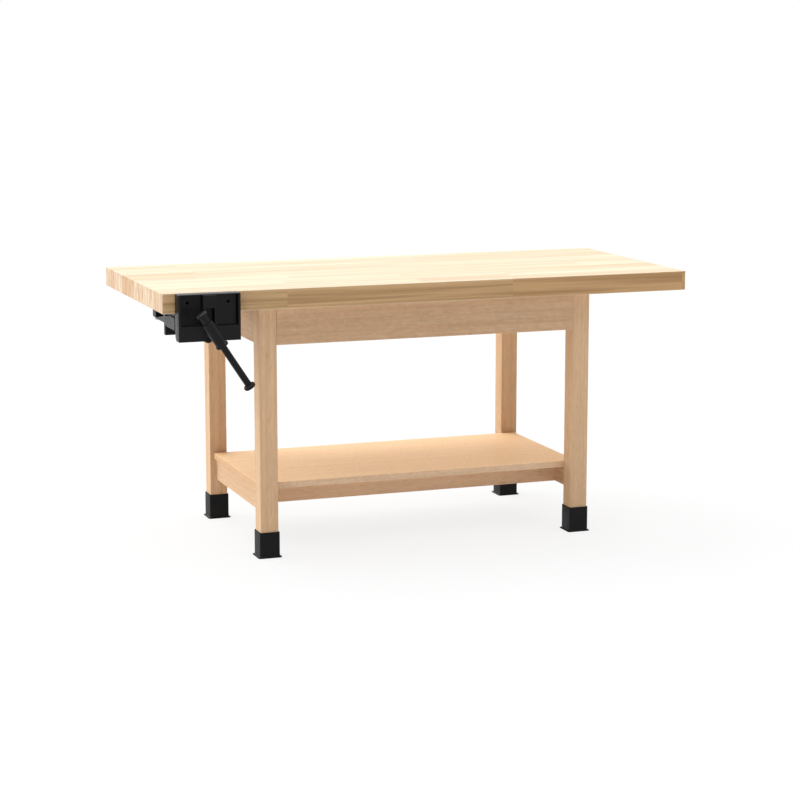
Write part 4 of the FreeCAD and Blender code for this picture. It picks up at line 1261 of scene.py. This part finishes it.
@dataclass
class Handle:
    """The hub on the screw's nose and the bar that slides through it.

    Millimetres, in the vise's frame turned with the screw.
    """

    reach: float = 91.4
    thrust_far: float = 46.6
    thrust_near: float = 54.6
    thrust_radius: float = 16.5
    neck_radius: float = 14.5
    barrel_radius: float = 16.0
    barrel_half: float = 39.0
    lip_radius: float = 18.6
    lip_low: float = -41.0
    lip_high: float = -33.0
    edge: float = 0.8
    bar_radius: float = 9.75
    bar_bore: float = 9.83
    nose_radius: float = 9.05
    nose_depth: float = 78.95
    pin_place: float = 65.0
    pin_reach: float = 30.0
    pin_bore: float = 3.05
    drill_past: float = 5.0
    bar_low: float = -181.2
    bar_high: float = 66.5
    bar_edge: float = 1.0
    end_bore: float = 9.8
    end_gap: float = 0.1
    head_low: float = 39.3
    head_shoulder: float = 63.3
    head_top: float = 71.3
    head_round: float = 0.7
    sleeve_radius: float = 12.7
    cap_radius: float = 16.8
    cap_edge: float = 2.0
    knob_radius: float = 17.2
    knob_low: float = -186.0
    knob_high: float = -174.0
    knob_edge: float = 3.0
    knob_round: float = 1.0
    grain: float = 0.55
    swell: float = 0.08
    facets: int = 96

    def build(self, tilted: Matrix, enamel: Material, bar_enamel: Material) -> None:
        """Model the hub, the bar, its head and its knob.

        Args:
            tilted: brings the turned frame to its place on the bench.
            enamel: the finish of the cast hub.
            bar_enamel: the finish of the turned bar and its ends.
        """
        hub = self._hub()
        settle(hub, tilted)
        place_piece(hub, "screw", "handle_hub", enamel)
        on_bar = tilted @ Matrix.Translation((0, -self.reach, 0))
        for piece, node in ((self._bar(), "handle_bar"), (self._head(), "handle_head"),
                            (self._knob(), "handle_knob")):
            settle(piece, on_bar)
            place_piece(piece, "handle", node, bar_enamel)

    def _barrel(self, grown: float) -> Piece:
        """Make the cross barrel with its lip, crisp at its edges.

        Args:
            grown: how much is added all round.

        Returns:
            The barrel, at its place on the hub.
        """
        edge, barrel, lip = self.edge, self.barrel_radius + grown, self.lip_radius + grown
        low, high, top = self.lip_low, self.lip_high, self.barrel_half
        piece = lathe("barrel", [
            (low, 0), (low, lip - 2 * edge), (low + edge, lip - edge / 2), (low + 2 * edge, lip),
            (high - 2 * edge, lip), (high - edge, lip - edge / 2), (high, barrel + edge / 4),
            (high + edge, barrel), (top - edge, barrel), (top, barrel - edge), (top, 0)],
            "Z", self.facets)
        settle(piece, Matrix.Translation((0, -self.reach, 0)))
        return piece

    def _hub(self) -> Piece:
        """Make a cross barrel on a neck, run together with cast fillets, then bored.

        Returns:
            The hub.
        """
        reach, near, far = -self.reach, -self.thrust_near, -self.thrust_far
        hub = lathe("handle_hub_casting", [
            (reach, 0), (reach, self.neck_radius), (near, self.neck_radius),
            (near, self.thrust_radius), (far, self.thrust_radius), (far, 0)], "Y")
        combine(hub, self._barrel(0))
        run_together(hub, self.grain, 4)
        combine(hub, self._barrel(self.swell))
        past = self.drill_past
        for drill in (peg((0, reach, self.lip_low - past), (0, reach, self.barrel_half + past),
                          self.bar_bore),
                      peg((0, -self.nose_depth, 0), (0, far + past, 0), self.nose_radius),
                      peg((-self.pin_reach, -self.pin_place, 0),
                          (self.pin_reach, -self.pin_place, 0), self.pin_bore, 32)):
            combine(hub, drill, "DIFFERENCE")
        return hub

    def _bar(self) -> Piece:
        """Turn the bar.

        Returns:
            The bar.
        """
        radius, edge = self.bar_radius, self.bar_edge
        return lathe("handle_bar_turned", [
            (self.bar_low, 0), (self.bar_low, radius - edge), (self.bar_low + edge, radius),
            (self.bar_high - edge, radius), (self.bar_high, radius - edge), (self.bar_high, 0)],
            "Z", self.facets)

    def _head(self) -> Piece:
        """Turn the sleeve with a flat cap that is pressed on the bar's upper end.

        Returns:
            The head.
        """
        cap, edge, end = self.cap_radius, self.cap_edge, self.bar_high + self.end_gap
        head = lathe("handle_head_turned", [
            (self.head_top, 0), (self.head_top, cap - edge), (self.head_top - edge, cap),
            (self.head_shoulder + 1, cap), (self.head_shoulder, cap - 1),
            (self.head_shoulder, self.sleeve_radius), (self.head_low, self.sleeve_radius),
            (self.head_low, self.end_bore), (end, self.end_bore), (end, 0)], "Z", self.facets)
        round_edges(head, self.head_round)
        return head

    def _knob(self) -> Piece:
        """Turn the round stop on the bar's lower end.

        Returns:
            The knob.
        """
        radius, edge, end = self.knob_radius, self.knob_edge, self.bar_low - self.end_gap
        knob = lathe("handle_knob_turned", [
            (self.knob_low, 0), (self.knob_low, radius - edge), (self.knob_low + edge, radius),
            (self.knob_high - edge, radius), (self.knob_high, radius - edge),
            (self.knob_high, self.end_bore), (end, self.end_bore), (end, 0)], "Z", self.facets)
        round_edges(knob, self.knob_round)
        return knob


@dataclass
class DriveScrew:
    """The vise screw with its thread. Millimetres, in the vise's frame turned with the screw."""

    nose: float = -78.65
    nose_radius: float = 9.0
    shoulder: float = -46.6
    radius: float = 11.0
    root: float = 8.6
    lead: float = 6.35
    run_out: float = 2.4
    overlap: float = 0.6
    thread_start: float = 21.0
    thread_end: float = 243.5
    tail_neck: float = 8.4
    tail_start: float = 245.7
    tail_radius: float = 8.0
    tail: float = 262.0

    def build(self, tilted: Matrix, steel: Material) -> None:
        """Turn the plain ends, cut the thread and join them.

        Args:
            tilted: brings the turned frame to its place on the bench.
            steel: the screw's finish.
        """
        start = self.thread_start + self.overlap
        screw = lathe("vise_screw_threaded", [
            (self.nose, 0), (self.nose, self.nose_radius - 1), (self.nose + 1, self.nose_radius),
            (self.shoulder, self.nose_radius), (self.shoulder, self.radius),
            (start - self.run_out, self.radius), (start, self.root), (start, 0)], "Y")
        thread = threaded_bar("thread", self.root, self.radius, self.lead, self.thread_start,
                              self.thread_end + self.overlap)
        tail = lathe("tail", [
            (self.thread_end, 0), (self.thread_end, self.tail_neck),
            (self.tail_start, self.tail_neck), (self.tail_start, self.tail_radius),
            (self.tail - 1, self.tail_radius), (self.tail, self.tail_radius - 1),
            (self.tail, 0)], "Y")
        combine(thread, tail)
        combine(screw, thread)
        settle(screw, tilted)
        place_piece(screw, "screw", "vise_screw", steel, smooth=25)


@dataclass
class Vise:
    """The screw vise on the bench's front edge. Sizes in millimetres."""

    body_grain: float = 1.7
    yoke_round: float = 1.5

    def build(self) -> None:
        """Model the vise's castings, handle and screw, and dress what stays as it is."""
        enamel, bar_enamel = CAST_ENAMEL.make(), BAR_ENAMEL.make()
        steel, iron = BLACKENED_STEEL.make(), NUT_IRON.make()
        place, tilted = self._places()
        Jaw().build(place, enamel)
        Handle().build(tilted, enamel, bar_enamel)
        DriveScrew().build(tilted, steel)
        self._body(enamel)
        self._yoke(enamel)
        for node in ("left_guide_rod", "right_guide_rod", "thrust_collar"):
            dress(node, steel)
        dress("drive_nut", iron)

    @staticmethod
    def _places() -> tuple[Matrix, Matrix]:
        """Find the vise's frame from the screw's joint.

        Returns:
            What brings the upright frame to its place, and what brings the turned one.
        """
        joints = {joint["name"]: joint for joint in FRAME["record"]["behaviour"]["joints"]}
        along = joints["handle_slide"]["axis"]
        tilt = math.atan2(along[0], along[2])
        upright = Matrix.Translation(joints["screw_turn"]["pos_m"]) @ Matrix.Scale(MM, 4)
        return upright, upright @ Matrix.Rotation(tilt, 4, "Y")

    def _body(self, enamel: Material) -> None:
        """Give the body the soft edges and fillets of a sand casting.

        Args:
            enamel: the casting's finish.
        """
        body = copy_of("vise_body", "vise_body_casting")
        run_together(body, self.body_grain * MM, 3)
        place_piece(body, "bench", "vise_body", enamel, smooth=60)

    def _yoke(self, enamel: Material) -> None:
        """Round the yoke's edges.

        Args:
            enamel: the casting's finish.
        """
        yoke = copy_of("vise_yoke", "vise_yoke_casting")
        round_edges(yoke, self.yoke_round * MM)
        place_piece(yoke, "jaw", "vise_yoke", enamel)


# ---------------------------------------------------------------- floor, light and camera
@dataclass(frozen=True)
class Lamp:
    """A soft far light: where it comes from, its strength and its spread in degrees."""

    name: str
    source: Place
    strength: float
    spread: float

    def hang(self) -> None:
        """Put the lamp in the scene."""
        light = bpy.data.lights.new(self.name, "SUN")
        light.energy = self.strength
        light.angle = math.radians(self.spread)
        lamp = bpy.data.objects.new(self.name, light)
        lamp.location = Vector(self.source) * 3
        lamp.rotation_euler = Vector(self.source).to_track_quat("Z", "Y").to_euler()
        bpy.context.scene.collection.objects.link(lamp)


@dataclass
class Studio:
    """A pale floor, soft light from the upper left and back, and the camera."""

    floor_size: float = 60.0
    floor_tone: str = "#dcdcdc"
    floor_veil: float = 0.82
    ambient: float = 0.27
    lamps: tuple[Lamp, ...] = (Lamp("left_back_light", (-0.46, 0.7, 0.58), 2.28, 70),
                               Lamp("overhead_light", (-0.15, 0.1, 1.0), 3.05, 100))
    camera_place: Place = (-2.2925, -6.3458, 1.5719)
    camera_yaw: float = 20.036
    camera_pitch: float = 9.959
    lens: float = 99.9
    film_width: float = 36.0

    def build(self) -> None:
        """Make the floor, the world, the lamps and the camera."""
        self._floor()
        self._world()
        for lamp in self.lamps:
            lamp.hang()
        self._camera()
        bpy.context.scene.view_settings.view_transform = "Standard"

    @staticmethod
    def _background_rays(tree: Tree) -> Socket:
        """Tell the rays that see the background from those that light the object.

        Args:
            tree: the node tree.

        Returns:
            1 for the camera and in reflections, 0 for light on the object.
        """
        ray = add_node(tree, "LightPath").outputs
        seen = calculate(tree, "MAXIMUM", ray["Is Camera Ray"], ray["Is Glossy Ray"])
        return calculate(tree, "MAXIMUM", seen, ray["Is Transmission Ray"])

    def _floor(self) -> None:
        """A wide plain floor, its shadows veiled to a faint grey."""
        bpy.ops.mesh.primitive_plane_add(size=self.floor_size, location=(0, 0, 0))
        floor = bpy.context.active_object
        floor.name = "floor"
        material, tree = new_material("plain_floor")
        matt = add_node(tree, "BsdfPrincipled", {
            "Base Color": linear(self.floor_tone), "Roughness": 0.9, "Specular IOR Level": 0.1})
        white = add_node(tree, "Emission", {"Color": (1, 1, 1, 1), "Strength": 1.0})
        veil = calculate(tree, "MULTIPLY", self._background_rays(tree), self.floor_veil)
        both = add_node(tree, "MixShader", {0: veil, 1: matt.outputs[0], 2: white.outputs[0]})
        add_node(tree, "OutputMaterial", {"Surface": both.outputs[0]})
        floor.data.materials.append(material)

    def _world(self) -> None:
        """White to the camera and in reflections, plain soft light on everything else."""
        world = bpy.data.worlds.new("studio")
        world.use_nodes = True
        tree = world.node_tree
        tree.nodes.clear()
        soft, white = (add_node(tree, "Background", {
            "Color": (1, 1, 1, 1), "Strength": strength}).outputs[0]
            for strength in (self.ambient, 1.0))
        both = add_node(tree, "MixShader", {0: self._background_rays(tree), 1: soft, 2: white})
        add_node(tree, "OutputWorld", {"Surface": both.outputs[0]})
        bpy.context.scene.world = world

    def _camera(self) -> None:
        """The camera, looking down a little from the front left."""
        yaw, pitch = math.radians(self.camera_yaw), math.radians(self.camera_pitch)
        camera = bpy.data.cameras.new("camera")
        camera.lens = self.lens
        camera.sensor_width = self.film_width
        holder = bpy.data.objects.new("camera", camera)
        holder.location = self.camera_place
        ahead = Vector((math.sin(yaw) * math.cos(pitch), math.cos(yaw) * math.cos(pitch),
                        -math.sin(pitch)))
        holder.rotation_euler = ahead.to_track_quat("-Z", "Y").to_euler()
        bpy.context.scene.collection.objects.link(holder)
        bpy.context.scene.camera = holder


def main() -> None:
    """Load the frame, and build and dress everything in order."""
    logging.basicConfig(level=logging.INFO, format="%(message)s")
    FRAME.update(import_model())
    bpy.ops.object.select_all(action="DESELECT")
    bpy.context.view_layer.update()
    Bench().dress_all()
    Boots().build()
    Fixings().build()
    Vise().build()
    Studio().build()


if __name__ == "__main__":
    main()
